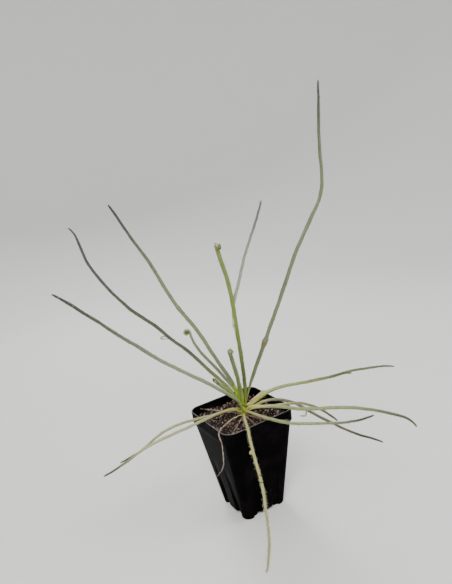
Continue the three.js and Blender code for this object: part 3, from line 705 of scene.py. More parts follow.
# The plant: the same seats, headings, pitches, lengths, widths and coils as the solids, in millimetres
# and degrees. tones are base, middle and tip; bare is the length without glands at the base; patches of
# another tone are (distance, reach, strength) and knots (distance, swell, reach) along the leaf.
# The seats, headings, pitches and lengths are numbers made by a separate fitting program.
stemProfile = [(79, 1.5), (86, 2.3), (93, 2.6), (98, 2.3), (102, 1.8), (105, 1.3), (107.5, 0.9)]
leafSpecs = {
    "tall_right": {
        "seat": (103.6, 341), "headings": [350, 345],
        "pitches": [70, 64, 61, 60, 62, 60, 62, 63, 61, 56, 55, 57, 81, 91, 87, 84, 85, 84], "length": 310,
        "width": 3.8, "slot": "leaf_grey",
        "tones": ((0.11, 0.135, 0.055), (0.155, 0.17, 0.1), (0.05, 0.05, 0.05)), "tipStart": 0.75,
        "knots": [(63, 0.55, 3.4), (59.5, 0.2, 1.2)], "patches": [(60.5, 1.5, 0.85)],
        "patchTone": (0.17, 0.11, 0.04),
    },
    "centre_coiled": {
        "seat": (103.4, 294), "headings": [185, 192],
        "pitches": [102, 96, 91, 90, 88, 89, 90, 86, 80, 75, 82], "length": 155, "width": 3.8,
        "coil": (1.2, 3.3, 0.7, 269), "slot": "leaf_green",
        "tones": ((0.04, 0.05, 0.015), (0.16, 0.215, 0.045), (0.16, 0.2, 0.055)), "baseEnd": 0.55,
        # painted shade: the patch at 168 mm darkens the inner turns of the roll
        "knots": [(79.5, 0.2, 1.4)], "beads": [(155, 161, 60, 1.5)], "patches": [(168, 4.5, 0.9)],
        "patchTone": (0.07, 0.07, 0.018),
    },
    "back_thin": {
        "seat": (103.4, 35), "headings": [15, -5, 9],
        "pitches": [64, 83, 90, 90, 92, 97, 81, 64, 66, 66, 59, 56, 60, 63], "length": 198, "width": 3.1,
        "slot": "leaf_grey", "tones": ((0.1, 0.13, 0.045), (0.3, 0.32, 0.26), (0.09, 0.09, 0.09)),
        "tipStart": 0.6, "patches": [(88, 14, 0.8)], "patchTone": (0.5, 0.56, 0.3),
    },
    "left_straight": {
        "seat": (103.8, 85), "headings": [119, 118],
        "pitches": [86, 66, 56, 60, 61, 54, 49, 57, 63, 63, 57, 54, 58, 60, 53], "length": 235,
        "width": 3.7, "slot": "leaf_grey",
        "tones": ((0.12, 0.155, 0.08), (0.16, 0.19, 0.09), (0.03, 0.03, 0.04)), "tipStart": 0.5,
        "knots": [(110, 0.2, 3)],
    },
    "left_wavy": {
        "seat": (103, 130), "headings": [146, 151],
        "pitches": [80, 62, 50, 51, 54, 50, 43, 52, 44, 41, 53, 54, 60, 63, 78, 81, 48], "length": 231,
        "width": 3.4, "slot": "leaf_grey",
        "tones": ((0.21, 0.26, 0.075), (0.07, 0.08, 0.045), (0.06, 0.06, 0.06)), "baseEnd": 0.35,
    },
    "left_low": {
        "seat": (99.1, 234), "headings": [211, 179],
        "pitches": [78, 47, 41, 41, 41, 39, 40, 41, 43, 47, 44, 48, 46, 47, 40], "length": 227,
        "width": 3.3, "slot": "leaf_grey",
        "tones": ((0.28, 0.31, 0.19), (0.24, 0.26, 0.16), (0.04, 0.042, 0.035)), "tipStart": 0.4,
    },
    "coiled_left": {
        "seat": (99, 50), "headings": [82, 110], "pitches": [82, 17, 25, 28, 29, 48, 83], "length": 106,
        "width": 3.2, "coil": (1.5, 3.4, 0.6, 151), "slot": "leaf_green",
        "tones": ((0.42, 0.48, 0.2), (0.17, 0.185, 0.105), (0.3, 0.34, 0.17)), "tipStart": 0.7,
        "crownTone": (0.34, 0.42, 0.1),
    },
    "coiled_short": {
        "seat": (104.5, 253), "headings": [226, 229], "pitches": [93, 74, 68, 63, 60], "length": 68,
        "width": 3.7, "coil": (0.95, 1.9, 0.9, 280), "slot": "leaf_green",
        "tones": ((0.27, 0.34, 0.08), (0.15, 0.19, 0.07), (0.2, 0.24, 0.11)), "tipStart": 0.8,
        "beads": [(70, 74, 14, 1.3)],
    },
    "broken_left": {
        "seat": (102.8, 193), "headings": [203, 184, 169], "pitches": [77, 56, 47, 56], "length": 45,
        "width": 3.7, "slot": "leaf_green", "blunt": True, "tipStart": 0.75,
        "tones": ((0.42, 0.52, 0.1), (0.19, 0.24, 0.08), (0.045, 0.065, 0.02)),
    },
    "right_upper_long": {
        "seat": (101.2, 11), "headings": [358, 355],
        "pitches": [5, 19, 4, -5, -11, -10, -7, -9, -4, -2, -10, -11, -10, -15, -23], "length": 194,
        "width": 3.2, "slot": "leaf_pale", "sheath": (4.4, 9, 24), "bare": 26,
        "tones": ((0.62, 0.5, 0.22), (0.15, 0.18, 0.05), (0.08, 0.085, 0.06)), "baseEnd": 0.35,
        "tipStart": 0.5, "patches": [(80.5, 1.4, 0.8)],
    },
    "right_upper_short": {
        "seat": (99.1, 352), "headings": [330, 338], "pitches": [28, 34, 15, 1, 0, 2, 6, -14],
        "length": 109, "width": 3, "slot": "leaf_pale", "bare": 26, "baseEnd": 0.3,
        "tones": ((0.42, 0.34, 0.12), (0.27, 0.32, 0.11), (0.06, 0.075, 0.02)), "tipStart": 0.4,
        "patches": [(68.5, 1.6, 0.6)],
    },
    "right_flat": {
        "seat": (95.6, 296), "headings": [286, 335],
        "pitches": [48, 17, 9, -4, 4, 6, -2, -11, -20, -25, -66], "length": 166, "width": 3.2,
        "slot": "leaf_pale", "bare": 20,
        "tones": ((0.72, 0.64, 0.3), (0.25, 0.29, 0.13), (0.05, 0.055, 0.035)), "baseEnd": 0.3,
        "tipStart": 0.5,
    },
    "right_low": {
        "seat": (98.2, 274), "headings": [260, 277, 295, 290, 300],
        "pitches": [17, 9, 6, 2, 9, 12, 14, 19, 30], "length": 142, "width": 2.6, "slot": "leaf_pale",
        "bare": 16, "tones": ((0.5, 0.38, 0.2), (0.24, 0.28, 0.12), (0.02, 0.02, 0.02)), "baseEnd": 0.4,
        "tipStart": 0.65,
    },
    "right_arch": {
        "seat": (98.3, 313), "headings": [299, 316], "pitches": [47, 0, 9, 14, 2, -21, -36, -47],
        "length": 93, "width": 2.7, "slot": "leaf_pale", "bare": 20,
        "tones": ((0.6, 0.57, 0.27), (0.27, 0.25, 0.13), (0.07, 0.085, 0.03)),
    },
    "right_drooping": {
        "seat": (96.3, 354), "headings": [322, 317],
        "pitches": [31, 22, -4, -26, -39, -33, -33, -27, -19, -26], "length": 138, "width": 2.8,
        "slot": "leaf_pale", "bare": 18,
        "tones": ((0.5, 0.5, 0.3), (0.13, 0.14, 0.075), (0.03, 0.03, 0.025)), "patches": [(102, 3, 0.8)],
    },
    "left_trailing": {
        "seat": (97.5, 196), "headings": [174, 172],
        "pitches": [44, 4, -7, -7, -5, -7, -11, -23, -19, -10], "length": 139, "width": 2.6,
        "slot": "leaf_pale", "bare": 16,
        "tones": ((0.38, 0.29, 0.09), (0.38, 0.38, 0.2), (0.02, 0.02, 0.015)), "baseEnd": 0.4,
        "tipStart": 0.65,
    },
    "left_trailing_upper": {
        "seat": (99.8, 146), "headings": [171, 174], "pitches": [23, -6, 5, 6, -2, -16, -30, -16, -6],
        "length": 122, "width": 2.6, "slot": "leaf_pale", "bare": 18,
        "tones": ((0.52, 0.46, 0.18), (0.32, 0.33, 0.17), (0.02, 0.02, 0.015)), "tipStart": 0.7,
    },
    "front_long": {
        "seat": (95.6, 245), "headings": [238, 245, 243, 247, 240, 239, 223],
        "pitches": [22, 5, -7, -11, -8, -6, -9, -20], "length": 185, "width": 2.1, "slot": "leaf_pale",
        "bare": 12, "bristle": 1.55, "dew": 2.1,
        "tones": ((0.55, 0.52, 0.26), (0.42, 0.39, 0.14), (0.22, 0.23, 0.1)), "patches": [(102, 0.8, 0.8)],
    },
}
bladeSpec = {"depth": 0.95, "baseWidth": 1.9, "baseDepth": 0.75, "tipShare": 0.72, "endShare": 0.38,
             "step": 1.5, "sides": 16, "inStem": 2.2, "clearance": 0.35, "wobble": 0.15, "crownReach": 30}
glandSpec = {"perMillimetre": 3.6, "stalk": (0.3, 0.9), "stalkRadius": 0.055, "drop": (0.12, 0.26),
             "seed": 90}


def direction(heading, pitch):
    h, p = np.radians(heading), np.radians(pitch)
    return np.stack([np.cos(p) * np.cos(h), np.cos(p) * np.sin(h), np.sin(p) * np.ones_like(h)], -1)


def seatOf(spec, width, thickness):
    z, angle = spec["seat"]
    turn = (spec["headings"][0] - angle) * degrees
    swing = abs(math.sin(turn)) * width / 2
    lean = abs(math.sin(spec["pitches"][0] * degrees) * math.cos(turn)) * thickness / 2
    stem = np.interp(z - thickness / 2, [row[0] for row in stemProfile], [row[1] for row in stemProfile])
    reach = stem + bladeSpec["clearance"] + lean + swing
    return np.array([*crownPlace, z]) + direction(np.float64(angle), np.float64(0)) * reach


def twistLine(line, angles):
    cos, sin = np.cos(angles)[:, None], np.sin(angles)[:, None]
    across, upper = line["across"], line["upper"]
    line["across"] = across * cos + upper * sin
    line["upper"] = upper * cos - across * sin


def leafLine(spec, start, step):
    # stations from base to tip: places, axes, distance from the base and share of the whole length
    length = spec["length"]
    count = max(8, round(length / step))
    middles = (np.arange(count) + 0.5) / count
    steps = direction(along(spec["headings"], middles), along(spec["pitches"], middles)) * (length / count)
    headings = along(spec["headings"], np.arange(count + 1) / count)
    pitches = along(spec["pitches"], np.arange(count + 1) / count)
    line = {
        "places": np.vstack([start, start + np.cumsum(steps, 0)]),
        "across": direction(headings + 90, np.zeros_like(headings)),
        "upper": direction(headings, pitches + 90), "ahead": direction(headings, pitches),
        "distance": np.linspace(0, length, count + 1),
    }
    if "coil" in spec:
        rollTip(line, *spec["coil"])
    line["share"] = line["distance"] / line["distance"][-1]
    return line


def rollTip(line, turns, outer, inner, towards):
    # the tip rolls up towards a heading; the leaf below twists so that its back is outside the roll
    ahead, upper = line["ahead"][-1], line["upper"][-1]
    inward = direction(np.float64(towards), np.float64(0))
    inward = inward - ahead * (ahead @ inward)
    inward /= np.linalg.norm(inward)
    across = np.cross(ahead, inward)
    twist = math.atan2(across @ upper, across @ line["across"][-1])
    share = np.clip((line["distance"] / line["distance"][-1] - 0.3) / 0.7, 0, 1)
    twistLine(line, twist * share * share * (3 - 2 * share))
    parts = round(turns * 40)
    turn = 2 * math.pi * turns / parts
    radius = outer + (inner - outer) * (np.arange(parts) + 0.5) / parts

    def bent(angles):
        return ahead * np.cos(angles)[:, None] + inward * np.sin(angles)[:, None]

    steps = bent((np.arange(parts) + 0.5) * turn) * (radius * turn)[:, None]
    rolled = bent((np.arange(parts) + 1) * turn)
    line["places"] = np.vstack([line["places"], line["places"][-1] + np.cumsum(steps, 0)])
    line["across"] = np.vstack([line["across"], np.tile(across, (parts, 1))])
    line["upper"] = np.vstack([line["upper"], np.cross(rolled, across)])
    line["ahead"] = np.vstack([line["ahead"], rolled])
    line["distance"] = np.concatenate([line["distance"], line["distance"][-1] + np.cumsum(radius * turn)])


def bladeSection(sides):
    # rounded below, with two lips and a channel above; the last value marks the channel
    angle = (np.arange(sides) + 0.5) / sides * 2 * math.pi - math.pi / 2
    u = 0.5 * np.cos(angle)
    lift = np.clip(np.sin(angle), 0, 1) ** 0.7
    groove = 0.22 * np.exp(-(u / 0.16) ** 2) * (np.sin(angle) > 0)
    v = np.where(np.sin(angle) > 0, 0.5 * lift - groove, 0.5 * np.sin(angle))
    return u, v, groove / 0.22


def taperOf(spec, line):
    width = spec["width"]
    base = bladeSpec["baseWidth"]
    whole = line["distance"][-1]
    if "endWidth" in spec:
        stops, widths = [0, 0.96, 1], [width, width * spec["endWidth"], width * spec["endWidth"] * 0.5]
    elif spec.get("blunt"):
        stops, widths = [0, 0.04, 0.8, 0.97, 1], [base * 1.2, base * 1.1, width, width, width * 0.7]
    elif "coil" in spec:
        stops = [0, 0.04, 0.1, spec["length"] / whole - 0.02, spec["length"] / whole + 0.02, 0.985, 1]
        widths = [base * 1.2, base * 1.1, width, width, width * 0.85, width * 0.66, width * 0.3]
    else:
        stops = [0, 0.04, 0.1, 0.55, 0.94, 0.99, 1]
        widths = [base * 1.2, base * 1.1, width, width, width * bladeSpec["tipShare"],
                  width * bladeSpec["endShare"] * 1.4, width * 0.25]
    if "sheath" in spec:
        wide, first, last = spec["sheath"]
        stops[2:3] = [first / whole, last / whole, (last + 3) / whole]
        widths[2:3] = [wide, wide, width]

    def taper(share):
        wide = np.interp(share, stops, widths)
        return wide, wide * np.interp(share, [0, 0.1], [bladeSpec["baseDepth"], bladeSpec["depth"]])

    return taper


def stalkShape():
    # three-sided stalk of height 1 along +Z, swelling to a head; the last list marks the head
    rows = [(0.0, 1.3), (0.85, 0.8), (1.0, 1.8)]
    angle = np.arange(3) / 3 * 2 * math.pi
    points = np.array([(r * math.cos(a), r * math.sin(a), z) for z, r in rows for a in angle])
    faces = []
    for r in range(2):
        for i in range(3):
            j = (i + 1) % 3
            a, b = r * 3 + i, r * 3 + j
            faces += [(a, b, b + 3), (a, b + 3, a + 3)]
    faces += [(0, 2, 1), (6, 7, 8)]
    return points, np.array(faces), np.repeat([0, 0, 1], 3)


def dropShape():
    # six-sided drop of radius 1 along +Z, with a fuller end away from the stalk
    rows = [(-0.8, 0.55), (-0.05, 1.0), (0.75, 0.62)]
    angle = np.arange(6) / 6 * 2 * math.pi
    points = np.array([(r * math.cos(a), r * math.sin(a), z) for z, r in rows for a in angle]
                      + [(0, 0, -1.0), (0, 0, 1.05)])
    faces = []
    for r in range(2):
        for i in range(6):
            j = (i + 1) % 6
            a, b = r * 6 + i, r * 6 + j
            faces += [(a, b, b + 6), (a, b + 6, a + 6)]
    for i in range(6):
        j = (i + 1) % 6
        faces += [(18, j, i), (19, 12 + i, 12 + j)]
    return points, np.array(faces)


def axesFrom(directions):
    # a turn that takes +Z to each direction
    side = np.cross(directions, np.where(np.abs(directions[:, 2:]) < 0.9, [[0, 0, 1.0]], [[1.0, 0, 0]]))
    side /= np.linalg.norm(side, axis=1, keepdims=True)
    other = np.cross(directions, side)
    return np.stack([side, other, directions], 2)


def glandsFor(line, taper, spec, seed):
    source = np.random.RandomState(seed)
    bristle = spec.get("bristle", 1)
    whole = line["distance"][-1]
    bare = min(spec.get("bare", 8), whole * 0.35)
    count = int((whole - bare) * spec.get("dew", glandSpec["perMillimetre"]))
    where = bare + (whole - bare) * (np.arange(count) + source.uniform(0, 1, count)) / count
    where = np.minimum(where, whole * 0.998)
    scale = np.ones(count)
    for first, last, extra, larger in spec.get("beads", []):
        where = np.concatenate([where, source.uniform(first, min(last, whole), extra)])
        scale = np.concatenate([scale, np.full(extra, larger)])
    count = len(where)
    # most glands stand on the two edges and the back, a few on the lips of the channel
    kind = source.choice(4, count, p=[0.30, 0.30, 0.28, 0.12])
    centre = np.choose(kind, [0, 180, 270, 90])
    spread = np.choose(kind, [30, 30, 60, 40])
    angle = np.radians(centre + source.uniform(-1, 1, count) * spread)

    def at(values):
        return np.stack([np.interp(where, line["distance"], values[:, k]) for k in range(3)], 1)

    share = where / whole
    width, thickness = taper(share)
    place, across, upper, ahead = (at(line[key]) for key in ("places", "across", "upper", "ahead"))
    out = across * np.cos(angle)[:, None] + upper * np.sin(angle)[:, None]
    out += ahead * source.uniform(-0.15, 0.35, count)[:, None]
    out /= np.linalg.norm(out, axis=1, keepdims=True)
    root = (place + across * (np.cos(angle) * width * 0.44)[:, None]
            + upper * (np.sin(angle) * thickness * 0.40)[:, None])
    low, high = glandSpec["stalk"]
    length = low + (high - low) * source.uniform(0, 1, count) ** 1.6
    length *= np.where(kind < 2, 1.0, 0.8) * np.interp(share, [0, 0.7, 1], [1, 0.95, 0.8]) * bristle
    low, high = glandSpec["drop"]
    size = (low + (high - low) * source.uniform(0, 1, count) ** 1.5) * scale * bristle ** 0.5
    turns = axesFrom(out)
    shape, faces, mask = stalkShape()
    thin = np.full(count, glandSpec["stalkRadius"] * bristle)
    stalks = np.column_stack([thin, thin, length]) * mm
    stalkPoints, stalkFaces = manyCopies(shape, faces, root * mm, turns, stalks)
    ball, ballFaces = dropShape()
    drops = np.column_stack([size, size, size * source.uniform(0.95, 1.25, count)]) * mm
    centres = (root + out * (length + size * 0.2)[:, None]) * mm
    dewPoints, dewFaces = manyCopies(ball, ballFaces, centres, turns, drops)
    return stalkPoints, stalkFaces, np.tile(mask, count), dewPoints, dewFaces


def buildBlade(name, spec, index, material, node):
    start = spec["start"] if "start" in spec else seatOf(
        spec, bladeSpec["baseWidth"], bladeSpec["baseWidth"] * bladeSpec["baseDepth"])
    step = bladeSpec["step"] if spec["length"] > 40 else 0.9
    line = leafLine(spec, np.asarray(start, float), step)
    distance = line["distance"]
    fade = np.interp(distance, [0, 14, 30], [0, 0.3, 1])
    if "coil" in spec:
        fade = fade * np.interp(distance, [spec["length"] - 25, spec["length"]], [1, 0])
    twistLine(line, waves(distance, index, (70, 33), 0.35) * fade)
    for key, seed in (("across", 300), ("upper", 400)):
        wobble = waves(distance, index + seed, (41, 19, 11), spec.get("wobble", bladeSpec["wobble"])) * fade
        line["places"] = line["places"] + line[key] * wobble[:, None]
    taper = taperOf(spec, line)
    width, thickness = taper(line["share"])
    uneven = 1 + waves(distance, index + 500, (17, 7, 4.3), 0.06)
    for place, swell, reach in spec.get("knots", []):
        uneven = uneven + swell * np.exp(-((distance - place) / reach) ** 2)
    patch = np.zeros_like(distance)
    for place, reach, strength in spec.get("patches", []):
        patch = np.maximum(patch, strength * np.exp(-((distance - place) / reach) ** 2))
    width, thickness = width * uneven, thickness * uneven
    u, v, groove = bladeSection(bladeSpec["sides"])
    lean = min(spec["pitches"][0], 35)
    outward = direction(np.float64(spec["headings"][0]), np.float64(lean))
    inner = line["places"][0] - outward * bladeSpec["inStem"]
    places = np.vstack([inner, line["places"]])
    across = np.vstack([line["across"][:1], line["across"]])
    upper = np.vstack([line["upper"][:1], line["upper"]])
    width = np.concatenate([width[:1], width])
    thickness = np.concatenate([thickness[:1], thickness])
    rings = (places[:, None, :] + across[:, None, :] * (u[None] * width[:, None])[:, :, None]
             + upper[:, None, :] * (v[None] * thickness[:, None])[:, :, None]) * mm
    share = np.concatenate([[0], line["share"]])
    patch = np.concatenate([[0], patch])
    nearCrown = np.interp(np.concatenate([[0], distance]), [3, bladeSpec["crownReach"]], [0.85, 0])
    blade = meshObject(name, loftPoints(rings), loftFaces(len(rings), len(u)), [material], values={
        "leafShare": np.concatenate([np.repeat(share, len(u)), [0, 1]]),
        "channel": np.concatenate([np.tile(groove * 0.5, len(rings)), [0, 0]]),
        "patch": np.concatenate([np.repeat(patch, len(u)), [0, 0]]),
        "nearCrown": np.concatenate([np.repeat(nearCrown, len(u)), [1, 0]]),
    })
    stalkPoints, stalkFaces, heads, dewPoints, dewFaces = glandsFor(
        line, taper, spec, glandSpec["seed"] + index)
    stalks = meshObject(name + "Stalks", stalkPoints, stalkFaces, [stalkMaterial], values={"headMask": heads})
    dew = meshObject(name + "Dew", dewPoints, dewFaces, [dewMaterial])
    for piece in (blade, stalks, dew):
        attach(piece, "root")
    if node:
        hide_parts(node)
    return line


def pieceName(name):
    first, *rest = name.split("_")
    return first + "".join(part.capitalize() for part in rest)


crownTones = {
    "leaf_green": (0.22, 0.29, 0.04),
    "leaf_grey": (0.26, 0.33, 0.05),
    "leaf_pale": (0.44, 0.45, 0.10),
}
leafLines = {}
for leafIndex, (leafName, leafSpec) in enumerate(leafSpecs.items()):
    leafMaterial = makeLeafMaterial(pieceName("green_" + leafName), leafSpec["tones"],
                                    leafSpec.get("baseEnd", 0.3), leafSpec.get("tipStart", 0.45),
                                    leafSpec.get("patchTone", (0.16, 0.11, 0.05)),
                                    leafSpec.get("crownTone", crownTones[leafSpec["slot"]]))
    leafLines[leafName] = buildBlade(
        pieceName("leaf_" + leafName), leafSpec, leafIndex, leafMaterial, "leaf_" + leafName)
print("leaves built")

# Crown: a short scaly stem and the young leaves on its top
crownSpec = {"top": 107.5, "sides": 28, "youngWidth": 3.5, "youngEnd": 0.5,
             "stemTones": ((0.38, 0.39, 0.08), (0.46, 0.54, 0.06), (0.34, 0.44, 0.04)),
             "youngTones": ((0.24, 0.35, 0.014), (0.26, 0.39, 0.018), (0.36, 0.48, 0.06))}
# Young leaves, chosen from a separate program's trials
youngSpecs = [
    {"headings": [136, 136], "pitches": [76, 58], "length": 20},
    {"headings": [130, 130], "pitches": [82, 68], "length": 20},
    {"headings": [124, 124], "pitches": [86, 84], "length": 20},
    {"headings": [160, 160], "pitches": [76, 60], "length": 13},
    {"headings": [60, 60], "pitches": [86, 78], "length": 12},
]


def buildCrown():
    levels = np.linspace(stemProfile[0][0], crownSpec["top"], 70)
    angle = np.arange(crownSpec["sides"]) / crownSpec["sides"] * 2 * math.pi
    rings = []
    for z in levels:
        radius = np.interp(z, [row[0] for row in stemProfile], [row[1] for row in stemProfile])
        scales = 0.10 * np.sin(3 * angle + z * 2.1) + 0.08 * np.sin(5 * angle - z * 3.3)
        ribs = 0.07 * np.sin(z * 5.2 + 1.5 * np.sin(angle * 2))
        r = radius * (1 + 0.6 * scales + ribs)
        ring = np.stack([crownPlace[0] + r * np.cos(angle), crownPlace[1] + r * np.sin(angle),
                         np.full_like(angle, z)], 1)
        rings.append(ring * mm)
    share = np.concatenate([np.repeat(np.linspace(0, 1, len(levels)), len(angle)), [0, 1]])
    plain = np.zeros_like(share)
    stemMaterial = makeLeafMaterial("greenStem", crownSpec["stemTones"], 0.55, 0.8)
    stem = meshObject("stem", loftPoints(rings), loftFaces(len(rings), len(angle)), [stemMaterial],
                      values={"leafShare": share, "channel": plain, "patch": plain})
    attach(stem, "root")
    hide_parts("crown")
    youngMaterial = makeLeafMaterial("greenYoung", crownSpec["youngTones"], 0.35, 0.6,
                                     crownTone=crownSpec["youngTones"][0])
    for k, spec in enumerate(youngSpecs):
        start = (np.array([*crownPlace, crownSpec["top"] - 3])
                 + direction(np.float64(spec["headings"][0]), np.float64(0)) * 0.3)
        young = dict(spec, start=start, width=crownSpec["youngWidth"], endWidth=crownSpec["youngEnd"],
                     bare=12, dew=2, slot="crown_green")
        buildBlade("youngLeaf%d" % (k + 1), young, 40 + k, youngMaterial, None)


buildCrown()
print("crown built")

# Withered leaves: thin, crinkled and twisted; tones are base, middle and tip. Their headings, pitches and
# lengths come from the same fitting program, some of them changed since.
witheredSpecs = {
    "withered_left": {
        "seat": (94.2, 130), "headings": [129, 129], "pitches": [6, 4], "length": 42,
        "width": 1.8, "crease": 0.4,
        "tones": ((0.36, 0.29, 0.23), (0.35, 0.28, 0.24), (0.30, 0.24, 0.21)),
    },
    "withered_over_rim": {
        "seat": (94.4, 200),
        "headings": [193, 200, 212, 217, 217, 215, 221, 280, 262, 262, 262, 266, 266, 266, 266, 266],
        "pitches": [12, 12, 9, 9, 8, 10, -14, -64, -106, -94, -109, -122, -134, -136, -138, -142],
        "length": 113, "width": 1.6, "thickness": 0.9, "crease": 0.6,
        "tones": ((0.54, 0.46, 0.24), (0.29, 0.23, 0.20), (0.19, 0.145, 0.14)),
    },
    "withered_front": {
        "seat": (93.9, 227), "headings": [226, 226], "pitches": [5, 12], "length": 41,
        "tones": ((0.30, 0.24, 0.17), (0.30, 0.23, 0.17), (0.24, 0.18, 0.14)),
    },
    "withered_short": {
        "seat": (93.9, 254), "headings": [259, 259], "pitches": [3, 7], "length": 25,
        "tones": ((0.28, 0.22, 0.16), (0.26, 0.20, 0.16), (0.22, 0.17, 0.14)),
    },
    "withered_right": {
        "seat": (94.2, 280), "headings": [265, 265, 300, 345], "pitches": [13, 16, 6, 0, -15], "length": 57,
        "tones": ((0.34, 0.28, 0.20), (0.33, 0.26, 0.19), (0.34, 0.28, 0.19)),
    },
}
witheredSize = {"width": 1.5, "thickness": 0.8, "sides": 12}


def buildWithered(name, spec, seed):
    line = leafLine(spec, seatOf(spec, witheredSize["width"], witheredSize["thickness"]), 0.7)
    distance = line["distance"]
    fade = np.interp(distance, [0, 6], [0, 1])
    twistLine(line, (waves(distance, seed, (23, 9), 1.3) + distance * 0.05) * fade)
    for key, offset in (("across", 10), ("upper", 20)):
        line["places"] = line["places"] + line[key] * (
            waves(distance, seed + offset, (13, 6, 3.1), 0.3) * fade)[:, None]
    shrink = np.interp(line["share"], [0, 0.15, 0.85, 1], [1.1, 1, 0.65, 0.3])
    width = spec.get("width", witheredSize["width"])
    thickness = spec.get("thickness", witheredSize["thickness"])
    crease = spec.get("crease", 1)
    angle = np.arange(witheredSize["sides"]) / witheredSize["sides"] * 2 * math.pi
    rings = []
    for i, place in enumerate(line["places"]):
        folds = 0.24 * np.sin(3 * angle + distance[i] * 0.9) + 0.10 * math.sin(distance[i] * 2.3)
        creased = 1 + crease * folds
        u = width / 2 * shrink[i] * creased * np.cos(angle)
        v = thickness / 2 * shrink[i] * creased * np.sin(angle)
        rings.append((place + np.outer(u, line["across"][i]) + np.outer(v, line["upper"][i])) * mm)
    piece = meshObject(pieceName("leaf_" + name), loftPoints(rings), loftFaces(len(rings), len(angle)),
                       [makeWitheredMaterial(pieceName(name), spec["tones"])],
                       values={"leafShare": np.concatenate([np.repeat(line["share"], len(angle)), [0, 1]])})
    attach(piece, "root")
    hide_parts("leaf_" + name)


for witheredIndex, (witheredName, witheredSpec) in enumerate(witheredSpecs.items()):
    buildWithered(witheredName, witheredSpec, 700 + witheredIndex)
print("withered leaves built")

# Dry bits on the leaves: a hook, a loop, torn strips at a sheath and at a broken end, and caught specks.
# Steps are (towards the left of the picture, towards the camera, up) in millimetres from a place on a leaf.
strandSpecs = {
    "paleFold": {
        "leaf": "centre_coiled", "distance": 79.5, "radius": (0.35, 0.9, 1.3, 1.25, 0.9, 0.4),
        "look": foldMaterial,
        "steps": [(0.9, 0.3, -8), (1.6, 0.3, -4.5), (2.1, 0.3, -0.5), (1.9, 0.3, 4), (1.5, 0.3, 8),
                  (0.9, 0.3, 11)],
    },
    "dryHook": {
        "leaf": "right_flat", "distance": 67, "radius": (0.85, 0.85, 0.9, 0.95, 0.9, 0.6),
        "look": dryMaterial,
        "steps": [(0, 0, -0.5), (0.4, 0, -2.6), (1.1, 0.1, -5), (1.9, 0.2, -6.5), (4, 0.1, -6.1),
                  (6.3, 0, -5.5)],
    },
    "dryLoop": {
        "leaf": "left_wavy", "distance": 95, "radius": (0.5, 0.55, 0.7, 0.9, 1.3, 0.9, 0.6, 0.55, 0.45),
        "look": dryMaterial,
        "steps": [(0.2, 0.6, 0.5), (2.4, 0.8, 1.6), (4.6, 0.9, 1.9), (6.6, 0.9, 1.5), (7.6, 0.9, 0.6),
                  (6.4, 0.9, -0.4), (4.2, 0.8, -0.6), (2.2, 0.7, -1.0), (0.8, 0.4, -1.5)],
    },
}
tornSpecs = [
    {"leaf": "right_upper_long", "first": 6, "last": 26, "count": 12, "lift": 1.6, "reach": 2.45, "seed": 61},
    {"leaf": "broken_left", "first": 37, "last": 45, "count": 7, "lift": 0.9, "reach": 1.6, "seed": 62},
]
# specks and lumps: leaf, distance, (left, towards the camera, up) and radius
speckSpecs = [
    ("front_long", 102, (-1.1, 0.6, 0.3), 0.9), ("front_long", 109, (0, 1.1, 0.3), 0.85),
    ("tall_right", 118, (0, 1.5, 0.3), 0.45), ("right_flat", 92, (0, 1.5, 0.3), 0.4),
    ("left_low", 131, (0, 1.5, 0.3), 0.4), ("left_straight", 160, (0, 1.5, 0.3), 0.38),
]
lumpSpecs = [
    ("front_long", 74.5, (1.5, 0.3, -0.2), 1.6), ("tall_right", 64.5, (-2.2, 0.3, 0), 1.0),
]
# rolled tips: the closed middle of the roll, toned dark as painted shade of the inner turns, and the thick
# dew on it, painted white as a painted highlight, which sits at a share of the roll
curlSpecs = {
    "centre_coiled": {
        "heart": (2.2, 3.0), "tones": ((0.22, 0.17, 0.04), (0.20, 0.22, 0.06)),
        "cap": 0.34, "drops": 34, "spread": 1.9, "size": (0.5, 0.9), "shift": (0.2, 0.8, -0.3),
    },
    "coiled_left": {
        "heart": (1.5, 2.7), "tones": ((0.06, 0.085, 0.012), (0.12, 0.15, 0.04)),
        "cap": 0.2, "drops": 5, "spread": 1.0, "size": (0.25, 0.4), "shift": (0, 1.2, 0),
    },
    "coiled_short": {
        "heart": (1.8, 2.3), "tones": ((0.14, 0.18, 0.05), (0.24, 0.29, 0.10)),
        "cap": 0.3, "drops": 2, "spread": 0.4, "size": (0.3, 0.5), "shift": (0.4, 1.9, -0.4),
    },
}
leftward = direction(np.float64(151), np.float64(0))
nearward = direction(np.float64(241), np.float64(0))


def smoothRows(rows, rounds=3):
    # rounds the corners of a list of rows by cutting them
    for _ in range(rounds):
        inner = np.stack([rows[:-1] * 0.75 + rows[1:] * 0.25, rows[:-1] * 0.25 + rows[1:] * 0.75], 1)
        rows = np.vstack([rows[:1], inner.reshape(-1, rows.shape[1]), rows[-1:]])
    return rows


def buildStrand(name, points, radii, material, flat=0.8, sides=8):
    rows = smoothRows(np.column_stack([points, radii]))
    ahead = np.gradient(rows[:, :3], axis=0)
    ahead /= np.linalg.norm(ahead, axis=1, keepdims=True)
    across = np.cross(ahead[0], (0.3, 0.2, 0.93))
    angle = np.arange(sides) / sides * 2 * math.pi
    rings = []
    for row, forward in zip(rows, ahead):
        across = across - forward * (across @ forward)
        across /= np.linalg.norm(across)
        upper = np.cross(across, forward)
        rings.append((row[:3] + np.outer(np.cos(angle) * row[3], across)
                      + np.outer(np.sin(angle) * row[3] * flat, upper)) * mm)
    share = np.linspace(0, 1, len(rings))
    piece = meshObject(name, loftPoints(rings), loftFaces(len(rings), sides), [material],
                       values={"leafShare": np.concatenate([np.repeat(share, sides), [0, 1]])})
    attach(piece, "root")


def placeOn(name, distance):
    line = leafLines[name]
    return {key: np.array([np.interp(distance, line["distance"], line[key][:, k]) for k in range(3)])
            for key in ("places", "across", "upper", "ahead")}


